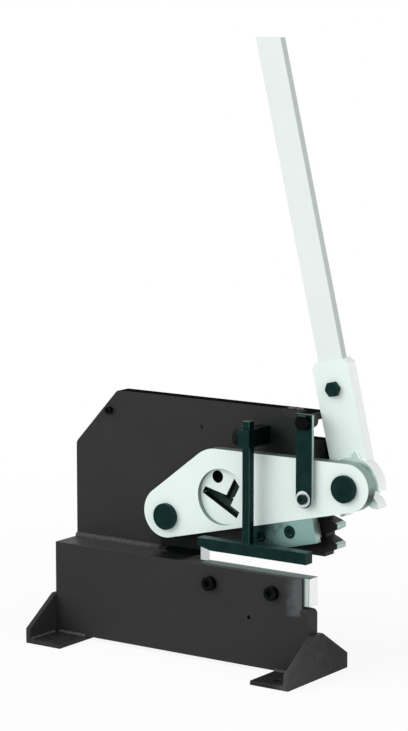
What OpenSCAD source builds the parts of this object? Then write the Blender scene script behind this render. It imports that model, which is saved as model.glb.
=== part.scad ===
// Hand lever profile shear: a jaw driven by a pinion lever on a toothed frame plate.
// Millimetres, +Z up, the front looks along -Y. The origin is on the floor, in the
// middle of the four foot holes. The shear is drawn open, with the lever up.

/* [Base] */
// Length of the base plate
base_length = 424; // [360:1:500]
// Height of the base plate
base_height = 130; // [110:1:160]
// Thickness of the base plate
base_thick = 24; // [18:1:30]
// Distance of the base plate's front face ahead of the foot hole centre
base_ahead = 15; // [8:1:25]
// How much shorter the upper right end of the base plate is
base_step = 13; // [6:1:18]
// Height of the full length part at the right end
base_step_height = 88; // [60:1:90]
// Width of the bevel at the upper right end
bevel_width = 23; // [10:1:40]
// Depth of the bevel
bevel_depth = 5; // [2:0.5:5.5]
// Height of the bevel
bevel_height = 52; // [30:1:80]
// Radius of the corner under the step
step_round = 7; // [4:0.5:10]
// Thickness of the lip left in front of the lower blade
lip_thick = 9; // [5.8:0.1:10]
// Distance of the empty hole from the base plate's right end
base_hole_in = 94.5; // [80:0.5:110]
// Height of the empty hole over the base plate's underside
base_hole_up = 67; // [50:1:80]
// Diameter of the empty hole in the base plate
base_hole_d = 6; // [4:0.5:8]
// Leg of the weld beads
weld_leg = 5; // [3:0.5:6]
// Distance of the weld beads' ends from the outer edges
weld_end = 6; // [4:0.5:10]

/* [Feet] */
// Width of the foot flange
flange_width = 60; // [50:1:80]
// Thickness of the foot flange
flange_thick = 6; // [4:0.5:10]
// Thickness of the upright foot leg
leg_thick = 7.5; // [5:0.5:12]
// Length of a foot from front to back
foot_length = 148; // [140:1:200]
// Height of the leg over the flange
leg_height = 55; // [40:1:80]
// Height of the leg's ends over the flange
leg_end_height = 15; // [8:1:30]
// Width of the leg's top
leg_top_width = 26; // [20:1:40]
// Distance of the foot holes inside the base plate's ends
hole_inset = 22; // [16:0.5:30]
// Spacing of the foot holes along Y
hole_spacing_y = 106; // [90:1:116]
// Diameter of the foot holes
hole_d = 12; // [9:0.5:14]

/* [Frame plate] */
// Thickness of the frame plate
plate_thick = 22; // [21.5:0.5:30]
// Height of the frame plate's top over the floor
plate_top = 353; // [345:1:370]
// Width of the chamfered corner
corner_width = 73; // [40:1:100]
// Height of the chamfered corner
corner_height = 80; // [40:1:110]
// Radius of the chamfered corner's two ends
corner_round = 10; // [4:1:16]
// Right edge of the plate's upper part
plate_right = 167; // [150:1:170]
// Left wall of the throat
throat_x = 4; // [0:1:14]
// Height of the throat's roof over the floor
throat_top = 159; // [156:1:162]
// Height of the lower arm over the floor
lower_arm_top = 111; // [90:1:116]
// Right end of the lower arm
lower_arm_right = 120; // [60:1:150]
// Width and height of the slope at the lower arm's end
lower_arm_slope = 30; // [15:1:40]
// Top of the shoulder beside the lever
shoulder_top = 316; // [300:1:320]
// Distance of the corner screw from the plate's left edge
corner_screw_in = 60; // [55:0.5:70]
// Distance of the corner screw under the plate's top
corner_screw_down = 29.5; // [25:0.5:40]
// Distance of the plate's empty hole from the throat's left wall
plate_hole_in = 2; // [0:0.5:10]
// Distance of the plate's empty hole under the plate's top
plate_hole_down = 38; // [30:1:45]
// Diameter of the plate's empty hole
plate_hole_d = 5; // [4:0.5:8]
// Distance of the first frame bolts from the plate's left edge
bolt_first = 32; // [25:1:40]
// Spacing of the frame bolts along X
bolt_step = 80; // [70:1:84]
// Height of the lower frame bolts over the base plate's underside
bolt_low = 44; // [35:1:55]
// Height of the upper frame bolts over the base plate's underside
bolt_high = 104; // [90:1:112]

/* [Drive] */
// Jaw pivot position along X
pivot_x = -40; // [-50:1:-34]
// Jaw pivot height over the floor
pivot_z = 188; // [186:1:194]
// Angle of the line from jaw pivot to lever pin when open
jaw_rest = 13.8; // [13:0.1:14]
// Tooth module
tooth_module = 8.5; // [8.5:0.05:8.6]
// Teeth on the lever's pinion
pinion_teeth = 9;
// Teeth of the full circle the sector is cut from
sector_teeth = 61;
// Pressure angle
pressure_angle = 25; // [24:0.5:26]
// Amount each tooth is thinned for backlash
tooth_thin = 0.6; // [0.3:0.1:1]
// Angle of the first sector tooth above the line of centres
tooth_phase = 1; // [0.5:0.1:1.5]

/* [Jaw] */
// Thickness of the jaw
jaw_thick = 18; // [16:0.5:20]
// Gap between the blades at the shear plane
shear_gap = 0.3; // [0.3:0.05:0.5]
// Space between jaw and frame plate
jaw_space = 1.7; // [1.5:0.1:2.5]
// Place of the jaw's left end along the line of centres, from the jaw pivot
jaw_left_x = -1.5; // [-4:0.5:1]
// Place of the jaw's left end above the line of centres
jaw_left_z = 5.5; // [4:0.5:7]
// Radius of the jaw's left end
jaw_left_r = 35.5; // [34:0.5:37]
// Place of the jaw's hump along the line of centres, from the jaw pivot
jaw_hump_x = 93.6; // [90:0.1:97]
// Place of the jaw's hump above the line of centres
jaw_hump_z = 31.7; // [29:0.1:33]
// Radius of the jaw's hump
jaw_hump_r = 50; // [46:1:52]
// Place of the jaw's right end beyond the lever pin
jaw_right_x = 3.5; // [0:0.5:5]
// Radius of the jaw's right end
jaw_right_r = 32.5; // [30:0.5:33]
// Diameter of the pivot pins
pin_d = 24; // [20:0.5:25]
// Wall of the bushes
bush_wall = 3; // [2:0.5:4]
// Diameter of the pin heads
pin_head_d = 37; // [34:0.5:40]
// Height of the pin heads
pin_head_h = 6; // [4:0.5:7]
// Step from a pin to its thinner end
pin_step = 2; // [1:0.5:3]
// Length of a pin's end beyond its nut
pin_end = 3; // [1:0.5:6]
// Width across flats of the pin nuts
pin_nut = 30; // [28:1:36]
// Thickness of the pin nuts
pin_nut_thick = 16; // [10:0.5:18]
// Thickness of the washers under the pin nuts
back_washer = 3; // [2:0.5:4]
// Diameter of the jaw pivot's back washer
pivot_washer_d = 40; // [36:1:46]
// Diameter of the lever pin's back washer
lever_washer_d = 36; // [32:1:44]
// Width of the thrust washers around the bushes
thrust_width = 7.5; // [5:0.5:9]

/* [Blades and dies] */
// Length of the lower blade
lower_blade_length = 176; // [160:1:180]
// Height of the lower blade
lower_blade_height = 38; // [34:1:40]
// Thickness of the lower blade
lower_blade_thick = 21; // [20:0.5:26]
// Length of the lower blade beyond the base plate's upper end
lower_blade_past = 9; // [1:0.5:12]
// Thickness of the upper blade
upper_blade_thick = 11; // [9:0.5:12]
// Start of the upper blade along the jaw
upper_blade_start = 129; // [126:1:132]
// End of the upper blade along the jaw
upper_blade_end = 237; // [230:1:240]
// Distance of the upper blade's edge below the line of centres
upper_blade_reach = 66; // [60:0.5:66]
// Distance of the jaw's tongue inside the upper blade's ends
tongue_in = 2; // [1:0.5:4]
// Distance of the jaw's tongue above the upper blade's edge
tongue_up = 6; // [4:0.5:10]
// Place of the dies along the line of centres, from the jaw pivot
die_x = 98.4; // [96:0.1:100]
// Place of the dies above the line of centres
die_z = 14.2; // [13:0.1:15]
// Diameter of the profile dies
die_d = 78; // [76:0.5:79]
// Depth of the moving die under the jaw's face
die_recess = 7; // [3:0.5:8]
// Amount that the fixed die stands ahead of the frame plate
die_ahead = 0.7; // [0.5:0.1:1]
// Width of the fixed die's flange
die_flange = 13; // [12:0.5:15]
// Thickness of the fixed die's flange
die_flange_thick = 6; // [4:0.5:8]
// Diameter of the pin that keeps the moving die from turning
die_pin_d = 5; // [4:0.5:6]
// Place of the round bar hole along the floor, from the dies' middle
bar_hole_x = -11; // [-12:0.1:-8]
// Place of the round bar hole above the dies' middle
bar_hole_z = 26.2; // [25:0.1:27]
// Diameter of the round bar hole
bar_hole_d = 17.5; // [10:0.5:18]
// Place of the profile slot along the floor, from the dies' middle
slot_x = -5.8; // [-7:0.1:-4]
// Place of the profile slot above the dies' middle
slot_z = -8.9; // [-10:0.1:-8]
// Length of the profile slot
slot_length = 64; // [50:1:66]
// Width of the profile slot
slot_width = 10; // [6:0.5:11]
// Width of the slot's stem
stem_width = 12.5; // [5:0.5:14]
// Place of the slot's stem along the slot
stem_at = 3; // [0:0.5:16]
// Length of the slot's stem
stem_length = 39; // [30:0.5:42]
// Fall of the stem's end towards its right side
stem_slant = 5; // [0:0.5:8]
// Height of the moving die's slot at the stem
slot_rise = 14; // [8:0.5:16]
// Tilt of the profile slot
slot_tilt = -28; // [-30:1:-20]

/* [Lever] */
// Lean of the lever to the left when up
lever_lean = 13.4; // [13:0.1:16]
// Length of the lever from its pin to its end
lever_length = 604; // [400:1:700]
// Length of the socket above the pin
socket_length = 169; // [140:1:200]
// Thickness of the socket and pinion
socket_thick = 20; // [18:0.5:21]
// Radius of the pinion's uncut rim
rim_r = 39; // [36:0.5:40]
// Angle where the uncut rim starts, from the lever's right side
rim_from = -18; // [-24:1:-10]
// Angle where the uncut rim ends, from the lever's right side
rim_to = 127; // [100:1:130]
// Distance of the socket's front behind the pinion's front
socket_setback = 4; // [2:0.5:6]
// Distance of the socket's middle to the left of the pin
socket_offset = 2.8; // [0:0.1:4]
// Half width of the socket
socket_half = 28; // [26:0.5:28]
// Width of the lever bar
bar_width = 38; // [30:0.5:40]
// Thickness of the lever bar
bar_thick = 12; // [8:0.5:12]
// Distance of the clamp bolt above the pin
bolt_height = 131; // [110:1:140]
// Depth of the bar's pocket below the clamp bolt
pocket_below = 36; // [25:1:40]
// Distance of the socket's narrow left side from its middle, beside the sector's teeth
neck_half = 21; // [18:0.5:24]
// Height of the narrow left side over the pin
neck_left = 8; // [4:1:12]
// Height where the left side reaches the socket's full width
neck_left_end = 24; // [22:1:40]
// Size of the cut-off corners at the socket's top
socket_chamfer = 7; // [3:0.5:8]
// Gap between the raised lever and its stop
lever_stop_gap = 0.5; // [0.3:0.1:2]

/* [Hold-down] */
// Length of the hold-down bar
clamp_bar_length = 175; // [150:1:184]
// Height of the hold-down bar
clamp_bar_height = 16; // [12:0.5:20]
// Depth of the hold-down bar
clamp_bar_depth = 16; // [14:0.5:24]
// Gap over the lower blade
clamp_bar_gap = 20; // [15:0.5:22]
// Length of the hold-down bar beyond the base plate's upper end
clamp_bar_past = 8; // [1:0.5:12]
// Distance of the hold-down bar ahead of the jaw
clamp_bar_clear = 12.3; // [1:0.1:14]
// Length of the slope under the bar's left end
clamp_bar_slope = 22; // [10:1:40]
// Rise of the slope under the bar's left end
clamp_bar_rise = 5; // [2:0.5:6]
// Side of the square rod
rod_side = 11.5; // [8:0.5:13]
// Distance of the rod's middle behind the base plate's front
rod_back = 10; // [8:0.5:12]
// Length of the rod above the arm
rod_over = 11; // [5:0.5:20]
// Wall of the arm in front of the rod
arm_wall = 6; // [4:0.5:8]
// Width of the arm
arm_width = 18; // [17.5:0.5:26]
// Height of the arm
arm_height = 24; // [20:0.5:28]
// Middle of the arm and rod along X
arm_x = 109.5; // [100:0.5:116]
// Middle of the arm's height over the floor
arm_z = 316; // [314:1:322]
// Diameter of the clamp screw's thread
clamp_thread = 8; // [6:0.5:10]
// Diameter of the clamp screw's knob
knob_d = 25; // [18:0.5:28]
// Length of the clamp screw's knob
knob_length = 8; // [8:0.5:14]
// Gap between knob and arm
knob_gap = 1.5; // [1:0.5:5]

/* [Guide] */
// Width of the guide strap
strap_width = 25; // [22:0.5:28]
// Thickness of the guide strap
strap_thick = 6; // [4:0.5:7]
// Middle of the guide strap along X
strap_x = 190.5; // [188:0.5:192]
// Height of the guide screw over the floor
guide_z = 240; // [236:1:246]
// Distance of the guide strap ahead of the jaw
strap_clear = 3.3; // [2:0.1:4]
// Length of the guide strap above the plate's top
strap_over = 1; // [0:0.5:3]
// Diameter of the guide pad
guide_pad_d = 14; // [10:0.5:20]
// Diameter of the guide screw's washer
guide_washer_d = 22; // [18:0.5:24]
// Thickness of the guide screw's washer
guide_washer_thick = 2; // [1:0.5:3]
// Height of the stop bracket
bracket_height = 10; // [10:0.5:14]
// Length of the bracket on the frame plate
bracket_lap = 29; // [27:1:40]
// Width of the bracket beside the strap
bracket_margin = 2; // [1:0.5:4]

/* [Screws] */
// Diameter of the lower blade's screws
blade_screw_d = 12; // [10:1:14]
// Head diameter of the lower blade's screws
blade_screw_head = 20; // [16:0.5:22]
// Head height of the lower blade's screws
blade_screw_head_h = 8; // [6:0.5:12]
// Length of the lower blade's screws in the blade
blade_screw_grip = 16; // [10:0.5:18]
// Distance of the first screw from the lower blade's left end
blade_screw_first = 23; // [15:0.5:40]
// Distance of the second screw from the lower blade's left end
blade_screw_second = 124; // [90:0.5:150]
// Distance of the screws below the lower blade's edge
blade_screw_down = 24; // [18:0.5:28]
// Diameter of the upper blade's screws
upper_screw_d = 10; // [8:0.5:12]
// Head diameter of the upper blade's screws
upper_screw_head = 18; // [15:0.5:20]
// Head height of the upper blade's screws
upper_screw_head_h = 4.7; // [3:0.1:4.9]
// Depth of the seats for the upper blade's screw heads
upper_screw_sink = 5; // [5:0.1:6]
// Distance of the first screw from the upper blade's left end
upper_screw_first = 20; // [12:0.5:30]
// Distance of the second screw from the upper blade's left end
upper_screw_second = 68.5; // [60:0.5:90]
// Distance of the screws below the jaw's lower edge
upper_screw_down = 14.6; // [12:0.1:18]
// Diameter of the frame bolts
frame_bolt_d = 12; // [10:0.5:14]
// Head diameter of the frame bolts
frame_bolt_head = 18; // [16:0.5:22]
// Head height of the frame bolts
frame_bolt_head_h = 12; // [8:0.5:14]
// Length of the frame bolts in the base plate
frame_bolt_grip = 13; // [10:0.5:14]
// Diameter of the fixed die's screws
die_screw_d = 6; // [5:0.5:7]
// Head diameter of the fixed die's screws
die_screw_head = 10; // [8:0.5:11]
// Head height of the fixed die's screws
die_screw_head_h = 6; // [4:0.5:8]
// Length of the fixed die's screws in the frame plate
die_screw_grip = 11; // [8:0.5:15]
// Distance of the fixed die's screws outside the die
die_screw_out = 7; // [6:0.5:8]
// Diameter of the arm's screws
arm_screw_d = 6; // [5:0.5:7]
// Head diameter of the arm's screws
arm_screw_head = 10; // [8:0.5:10.5]
// Head height of the arm's screws
arm_screw_head_h = 6; // [4:0.5:8]
// Length of the arm's screws in the arm
arm_screw_grip = 15; // [10:0.5:20]
// Spacing of the arm's screws
arm_screw_spacing = 11; // [10.6:0.1:12]
// Diameter of the bracket's screws
bracket_screw_d = 6; // [5:0.5:7]
// Head diameter of the bracket's screws
bracket_screw_head = 11; // [9:0.5:12]
// Head height of the bracket's screws
bracket_screw_head_h = 4; // [3:0.5:6]
// Length of the bracket's screws in the frame plate
bracket_screw_grip = 13; // [8:0.5:20]
// Distance of the first screw from the bracket's left end
bracket_screw_first = 8; // [7:0.5:9]
// Spacing of the bracket's screws
bracket_screw_spacing = 13; // [12.5:0.5:14]
// Diameter of the strap's bolt
strap_bolt_d = 12; // [8:0.5:13]
// Size across the flats of the strap bolt's head
strap_bolt_across = 19; // [16:0.5:22]
// Head height of the strap's bolt
strap_bolt_head_h = 7.5; // [5:0.5:10]
// Length of the strap's bolt in the bracket's boss
strap_bolt_grip = 13; // [8:0.5:14]
// Distance of the strap's bolt below the plate's top
strap_bolt_down = 10; // [9:0.5:14]
// Diameter of the bracket's boss behind the strap
strap_boss_d = 19; // [17:0.5:24]
// Length of the bracket's boss behind the strap
strap_boss_depth = 15; // [15:0.5:20]
// Diameter of the guide screw
guide_screw_d = 8; // [6:0.5:9]
// Head diameter of the guide screw
guide_screw_head = 14; // [12:0.5:16]
// Head height of the guide screw
guide_screw_head_h = 3.5; // [3:0.5:9]
// Diameter of the corner screw
corner_screw_d = 5; // [4:0.5:6]
// Head diameter of the corner screw
corner_screw_head = 11; // [8:0.5:13]
// Head height of the corner screw
corner_screw_head_h = 6; // [3:0.5:8]
// Length of the corner screw in the frame plate
corner_screw_grip = 11; // [8:0.5:18]
// Diameter of the hold-down bar's screw
bar_screw_d = 6; // [5:0.5:7]
// Head diameter of the hold-down bar's screw
bar_screw_head = 11; // [9:0.5:12]
// Head height of the hold-down bar's screw
bar_screw_head_h = 5.5; // [4:0.5:7]
// Distance of that screw's head inside the bar
bar_screw_in = 0.5; // [0.2:0.1:2]
// Length of the hold-down bar's screw in the rod
bar_screw_grip = 16; // [10:0.5:24]
// Diameter of the clamp bolt
clamp_bolt_d = 12; // [10:0.5:14]
// Width across flats of the clamp bolt and its nut
clamp_bolt_across = 19; // [17:0.5:24]
// Head height of the clamp bolt
clamp_bolt_head_h = 7.5; // [5:0.5:9]
// Thickness of the clamp bolt's nut
clamp_nut_thick = 10; // [8:0.5:12]
// Length of the clamp bolt beyond its nut
clamp_bolt_end = 4; // [2:0.5:8]

/* [Fits] */
// Radial play of seated pieces
seat_play = 0.05; // [0.02:0.01:0.08]
// Radial play of the running pins
run_play = 0.05; // [0.02:0.01:0.08]
// Gap between faces that move past each other
face_gap = 0.3; // [0.3:0.05:0.4]

/* [Hidden] */
$fn = 72;

paint_dark = [0.2, 0.2, 0.2];
paint_pale = [0.9, 0.93, 0.92];
steel_black = [0.1, 0.14, 0.14];
steel_grey = [0.5, 0.56, 0.54];
steel_pale = [0.7, 0.74, 0.73];

// Levels from front to back
base_front = -base_ahead;
base_back = base_front + base_thick;
blade_front = base_front + lip_thick;
blade_back = blade_front + lower_blade_thick;
jaw_front = blade_back + shear_gap;
jaw_back = jaw_front + jaw_thick;
plate_front = jaw_back + jaw_space;
plate_back = plate_front + plate_thick;
pinion_front = plate_front + (plate_thick - socket_thick) / 2;
socket_front = pinion_front + socket_setback;
socket_back = socket_front + socket_thick;
bar_front = socket_front + (socket_thick - bar_thick) / 2;
strap_back = jaw_front - strap_clear;
strap_front = strap_back - strap_thick;

// Heights and ends
base_bottom = flange_thick;
base_top = base_bottom + base_height;
base_half = base_length / 2;
upper_end = base_half - base_step;
step_z = base_bottom + base_step_height;
bracket_bottom = plate_top - bracket_height;
lower_blade_right = upper_end + lower_blade_past;
lower_blade_left = lower_blade_right - lower_blade_length;
blade_bottom = base_top - lower_blade_height;
blade_screw_x = [lower_blade_left + blade_screw_first, lower_blade_left + blade_screw_second];
blade_screw_z = base_top - blade_screw_down;
bolt_x = -base_half + bolt_first;
frame_bolt_points = [
    [bolt_x, base_bottom + bolt_low], [bolt_x, base_bottom + bolt_high],
    [bolt_x + bolt_step, base_bottom + bolt_low], [bolt_x + 2 * bolt_step, base_bottom + bolt_high],
    [bolt_x + 2 * bolt_step, base_bottom + bolt_low]
];
corner_slope = atan2(corner_height, corner_width);
corner_screw_x = -base_half + corner_screw_in;
corner_screw_z = plate_top - corner_screw_down;
hole_x = base_half - hole_inset;

// Drive
pinion_r = tooth_module * pinion_teeth / 2;
sector_r = tooth_module * sector_teeth / 2;
centre_distance = pinion_r + sector_r;
pin_x = pivot_x + centre_distance * cos(jaw_rest);
pin_z = pivot_z + centre_distance * sin(jaw_rest);
pinion_tip = pinion_r + tooth_module;
pinion_root = pinion_r - 1.05 * tooth_module;
sector_tip = sector_r + 0.8 * tooth_module;
sector_root = sector_r - 1.25 * tooth_module;
pinion_phase = jaw_rest + 180 - tooth_phase * sector_teeth / pinion_teeth + 180 / pinion_teeth - lever_lean;
sector_pitch = 360 / sector_teeth;
shoulder_bottom = pivot_z + sector_tip * sin(22);
bush_d = pin_d + 2 * bush_wall;
pin_end_d = pin_d - 2 * pin_step;
thrust_d = bush_d + 2 * thrust_width;

// Jaw outline, drawn along the line of centres with the pivot at zero
jaw_left = [jaw_left_x, jaw_left_z];
jaw_hump = [jaw_hump_x, jaw_hump_z];
jaw_right = [centre_distance + jaw_right_x, 0];
die_at = [die_x, die_z];
die_bolt_r = die_d / 2 + die_screw_out;
die_screws = [for (a = [20 : 90 : 290]) die_at + polar(die_bolt_r, a)];
die_pin_at = die_at + polar(die_d / 2, 30);

// Hold-down
rod_y = base_front + rod_back;
bar_bottom = base_top + clamp_bar_gap;
bar_top = bar_bottom + clamp_bar_height;
clamp_bar_right = upper_end + clamp_bar_past;
clamp_bar_left = clamp_bar_right - clamp_bar_length;
clamp_bar_front = jaw_front - clamp_bar_clear - clamp_bar_depth;
arm_front = rod_y - rod_side / 2 - arm_wall;
arm_bottom = arm_z - arm_height / 2;
rod_top = arm_z + arm_height / 2 + rod_over;
arm_left = arm_x - arm_width / 2;
arm_screw_z = [arm_z - arm_screw_spacing / 2, arm_z + arm_screw_spacing / 2];

// Stop bracket
bracket_left = plate_right - bracket_lap;
bracket_right = lever_left(plate_top) - lever_stop_gap;
bracket_arm_left = strap_x - strap_width / 2 - bracket_margin;
bracket_screw_x = [
    bracket_left + bracket_screw_first, bracket_left + bracket_screw_first + bracket_screw_spacing
];
strap_bolt_z = plate_top - strap_bolt_down;
pocket_bottom = bolt_height - pocket_below;

// X of the lever's left edge at a height over the floor, lever up
function lever_left(z) =
    pin_x - (z - pin_z) * tan(lever_lean) - (socket_half + socket_offset) / cos(lever_lean);

// Tooth flank by the involute
function involute(a) = tan(a) * 180 / PI - a;
function rise(r, rb) = involute(acos(rb / max(r, rb)));
function tooth_half(r, rp, z) =
    90 / z - tooth_thin / 2 / rp * 180 / PI + involute(pressure_angle) - rise(r, rp * cos(pressure_angle));
function polar(r, a) = [r * cos(a), r * sin(a)];
function tooth_points(rp, z, r0, r1, n) = concat(
    [for (i = [0 : n]) let (r = r0 + (r1 - r0) * i / n) polar(r, -tooth_half(r, rp, z))],
    [for (i = [n : -1 : 0]) let (r = r0 + (r1 - r0) * i / n) polar(r, tooth_half(r, rp, z))]);

// Outer tangent of two circles, to the left (side 1) or right (side -1) of the way from a to b,
// laid a hair inside them so that the joined outline closes cleanly
function tangent(a, ra, b, rb, side) =
    let (d = b - a)
    let (n = atan2(d.y, d.x) + side * acos((ra - rb) / norm(d)))
    [a + polar(ra - 0.05, n), b + polar(rb - 0.05, n)];
function on_line(p, x) = p[0].y + (p[1].y - p[0].y) * (x - p[0].x) / (p[1].x - p[0].x);

// Points of a rounded convex corner at p, entered in direction a and left after a turn
function round_corner(p, a, turn, r, n) =
    let (c = p - polar(r * tan(turn / 2), a) + polar(r, a + 90))
    [for (i = [0 : n]) c + polar(r, a - 90 + turn * i / n)];

jaw_bottom_edge = tangent(jaw_left, jaw_left_r, jaw_right, jaw_right_r, -1);
function below_jaw(x, down) = [x, on_line(jaw_bottom_edge, x) - down];
upper_screws = [
    below_jaw(upper_blade_start + upper_screw_first, upper_screw_down),
    below_jaw(upper_blade_start + upper_screw_second, upper_screw_down)
];

// Flat shapes drawn in X and Z, given depth along Y
module along_y(y, depth) {
    translate([0, y + depth, 0]) rotate([90, 0, 0]) linear_extrude(depth) children();
}

// Flat shapes drawn in Y and Z, given depth along X
module along_x(x, depth) {
    translate([x, 0, 0]) rotate([90, 0, 90]) linear_extrude(depth) children();
}

module round_y(x, z, d, y, depth) {
    translate([x, y, z]) rotate([-90, 0, 0]) cylinder(d = d, h = depth);
}

module round_x(y, z, d, x, depth) {
    translate([x, y, z]) rotate([0, 90, 0]) cylinder(d = d, h = depth);
}

module hex_y(x, z, across, y, depth) {
    translate([x, y, z]) rotate([-90, 0, 0]) cylinder(d = across / cos(30), h = depth, $fn = 6);
}

// Socket screw with its head at the front; y is the face under the head
module front_screw(x, z, y, d, head_d, head_h, length) {
    difference() {
        union() {
            round_y(x, z, head_d, y - head_h, head_h);
            round_y(x, z, d, y - 1, length + 1);
        }
        hex_y(x, z, d * 0.8, y - head_h - 1, head_h * 0.6 + 1);
    }
}

// Socket screw with its head at the back; y is the face under the head
module back_screw(x, z, y, d, head_d, head_h, length) {
    difference() {
        union() {
            round_y(x, z, head_d, y, head_h);
            round_y(x, z, d, y - length, length + 1);
        }
        hex_y(x, z, d * 0.8, y + head_h * 0.4, head_h);
    }
}

module at_jaw() {
    translate([pivot_x, 0, pivot_z]) rotate([0, -jaw_rest, 0]) children();
}

module at_lever() {
    translate([pin_x, 0, pin_z]) rotate([0, -lever_lean, 0]) children();
}

module base_plate() {
    color(paint_dark) difference() {
        along_y(base_front, base_thick) {
            translate([-base_half, base_bottom]) square([base_length - base_step, base_height]);
            translate([0, base_bottom]) square([base_half, base_step_height - step_round]);
            translate([0, base_bottom]) square([base_half - step_round, base_step_height]);
            translate([base_half - step_round, step_z - step_round]) circle(r = step_round);
        }
        translate([lower_blade_left, blade_front, blade_bottom])
            cube([base_length, base_thick, lower_blade_height + 1]);
        translate([0, 0, base_top - bevel_height]) linear_extrude(bevel_height + 1) polygon([
            [upper_end - bevel_width, base_front], [upper_end - bevel_width, base_front - 1],
            [upper_end + 1, base_front - 1], [upper_end + 1, base_front + bevel_depth],
            [upper_end, base_front + bevel_depth]
        ]);
        translate([upper_end, base_front - 1, step_z]) cube([base_step + 1, base_thick + 2, base_height]);
        for (x = blade_screw_x)
            round_y(x, blade_screw_z, blade_screw_d + 2 * seat_play, base_front - 1, lip_thick + 2);
        round_y(base_half - base_hole_in, base_bottom + base_hole_up, base_hole_d,
            base_front - 1, base_thick + 2);
        for (p = frame_bolt_points)
            round_y(p.x, p.y, frame_bolt_d + 2 * seat_play,
                base_back - frame_bolt_grip - 1, frame_bolt_grip + 2);
    }
}

module spacer_block() {
    color(paint_dark) difference() {
        translate([-base_half, base_back, base_bottom])
            cube([throat_x + base_half, plate_front - base_back, base_height]);
        for (p = frame_bolt_points)
            round_y(p.x, p.y, frame_bolt_d + 2 * seat_play, base_back - 1, plate_front - base_back + 2);
    }
}

module sector_shape() {
    translate([pivot_x, pivot_z]) {
        intersection() {
            circle(r = sector_root, $fn = 180);
            translate([0, throat_top - pivot_z]) square([sector_root + 20, shoulder_top - throat_top - 10]);
        }
        for (k = [-3 : 1]) rotate(jaw_rest + tooth_phase + k * sector_pitch)
            polygon(tooth_points(sector_r, sector_teeth, sector_root - 1.5, sector_tip, 6));
    }
    shoulder_end = lever_left(shoulder_top) - lever_stop_gap;
    translate([plate_right - 20, shoulder_bottom])
        square([shoulder_end - plate_right + 20, shoulder_top - shoulder_bottom]);
}

module plate_shape() {
    polygon(concat([
        [-base_half, base_bottom], [lower_arm_right, base_bottom],
        [lower_arm_right, lower_arm_top - lower_arm_slope],
        [lower_arm_right - lower_arm_slope, lower_arm_top],
        [throat_x, lower_arm_top], [throat_x, throat_top], [plate_right, throat_top],
        [plate_right, bracket_bottom], [bracket_left, bracket_bottom], [bracket_left, plate_top]
    ],
    round_corner([corner_width - base_half, plate_top], 180, corner_slope, corner_round, 8),
    round_corner([-base_half, plate_top - corner_height], 180 + corner_slope, 90 - corner_slope,
        corner_round, 8)));
    sector_shape();
}

module frame_plate() {
    color(paint_dark) difference() {
        along_y(plate_front, plate_thick) plate_shape();
        round_y(pivot_x, pivot_z, pin_d + 2 * seat_play, plate_front - 1, plate_thick + 2);
        at_jaw() round_y(die_at.x, die_at.y, die_d + 2 * seat_play, plate_front - 1, plate_thick + 2);
        for (p = frame_bolt_points)
            round_y(p.x, p.y, frame_bolt_d + 2 * seat_play, plate_front - 1, plate_thick + 2);
        for (p = die_screws) at_jaw()
            round_y(p.x, p.y, die_screw_d + 2 * seat_play,
                plate_back - die_screw_grip - 1, die_screw_grip + 2);
        for (z = arm_screw_z)
            round_y(arm_x, z, arm_screw_d + 2 * seat_play, plate_front - 1, plate_thick + 2);
        for (x = bracket_screw_x)
            translate([x, plate_front + plate_thick / 2, bracket_bottom - bracket_screw_grip - 1])
                cylinder(d = bracket_screw_d + 2 * seat_play, h = bracket_screw_grip + 2);
        round_y(throat_x + plate_hole_in, plate_top - plate_hole_down, plate_hole_d, plate_front - 1,
            plate_thick + 2);
        round_y(corner_screw_x, corner_screw_z, corner_screw_d + 2 * seat_play, plate_front - 1,
            corner_screw_grip + 2);
    }
}

module bead_y(x, z, y, length, side) {
    translate([x, y + length, z]) rotate([90, 0, 0]) linear_extrude(length)
        polygon([[0, 0], [side * weld_leg, 0], [0, weld_leg]]);
}

module bead_x(x, length, y, z, side) {
    along_x(x, length) polygon([[y, z], [y + side * weld_leg, z], [y, z + weld_leg]]);
}

module weld_beads() {
    color(paint_dark) {
        bead_x(-base_half, throat_x + base_half, plate_front, base_top, -1);
        for (s = [-1, 1]) {
            bead_x(s < 0 ? -base_half + weld_end : base_half - flange_width + leg_thick,
                flange_width - leg_thick - weld_end, base_front, base_bottom, -1);
            bead_y(s * base_half, base_bottom, weld_end / 2 - foot_length / 2,
                foot_length / 2 - weld_end / 2 + base_front - weld_end, -s);
        }
        bead_x(-base_half + weld_end, flange_width - leg_thick - weld_end, plate_back, base_bottom, 1);
        bead_x(base_half - flange_width + leg_thick, flange_width - leg_thick - weld_end,
            base_back, base_bottom, 1);
    }
}

module foot() {
    difference() {
        union() {
            translate([base_half + leg_thick - flange_width, -foot_length / 2, 0])
                cube([flange_width, foot_length, flange_thick]);
            along_x(base_half, leg_thick) polygon([
                [-foot_length / 2, 0], [foot_length / 2, 0],
                [foot_length / 2, flange_thick + leg_end_height],
                [base_front + leg_top_width, flange_thick + leg_height],
                [base_front, flange_thick + leg_height],
                [-foot_length / 2, flange_thick + leg_end_height]
            ]);
        }
        for (s = [-1, 1]) translate([hole_x, s * hole_spacing_y / 2, -1])
            cylinder(d = hole_d, h = flange_thick + 2);
    }
}

module right_foot() {
    color(paint_dark) foot();
}

module left_foot() {
    color(paint_dark) mirror([1, 0, 0]) foot();
}

module lower_blade() {
    color(steel_pale) difference() {
        translate([lower_blade_left, blade_front, blade_bottom])
            cube([lower_blade_length, lower_blade_thick, lower_blade_height]);
        for (x = blade_screw_x)
            round_y(x, blade_screw_z, blade_screw_d + 2 * seat_play, blade_front - 1, blade_screw_grip + 3);
    }
}

module lower_blade_screws() {
    color(steel_black) for (x = blade_screw_x)
        front_screw(x, blade_screw_z, base_front, blade_screw_d, blade_screw_head, blade_screw_head_h,
            lip_thick + blade_screw_grip);
}

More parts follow.
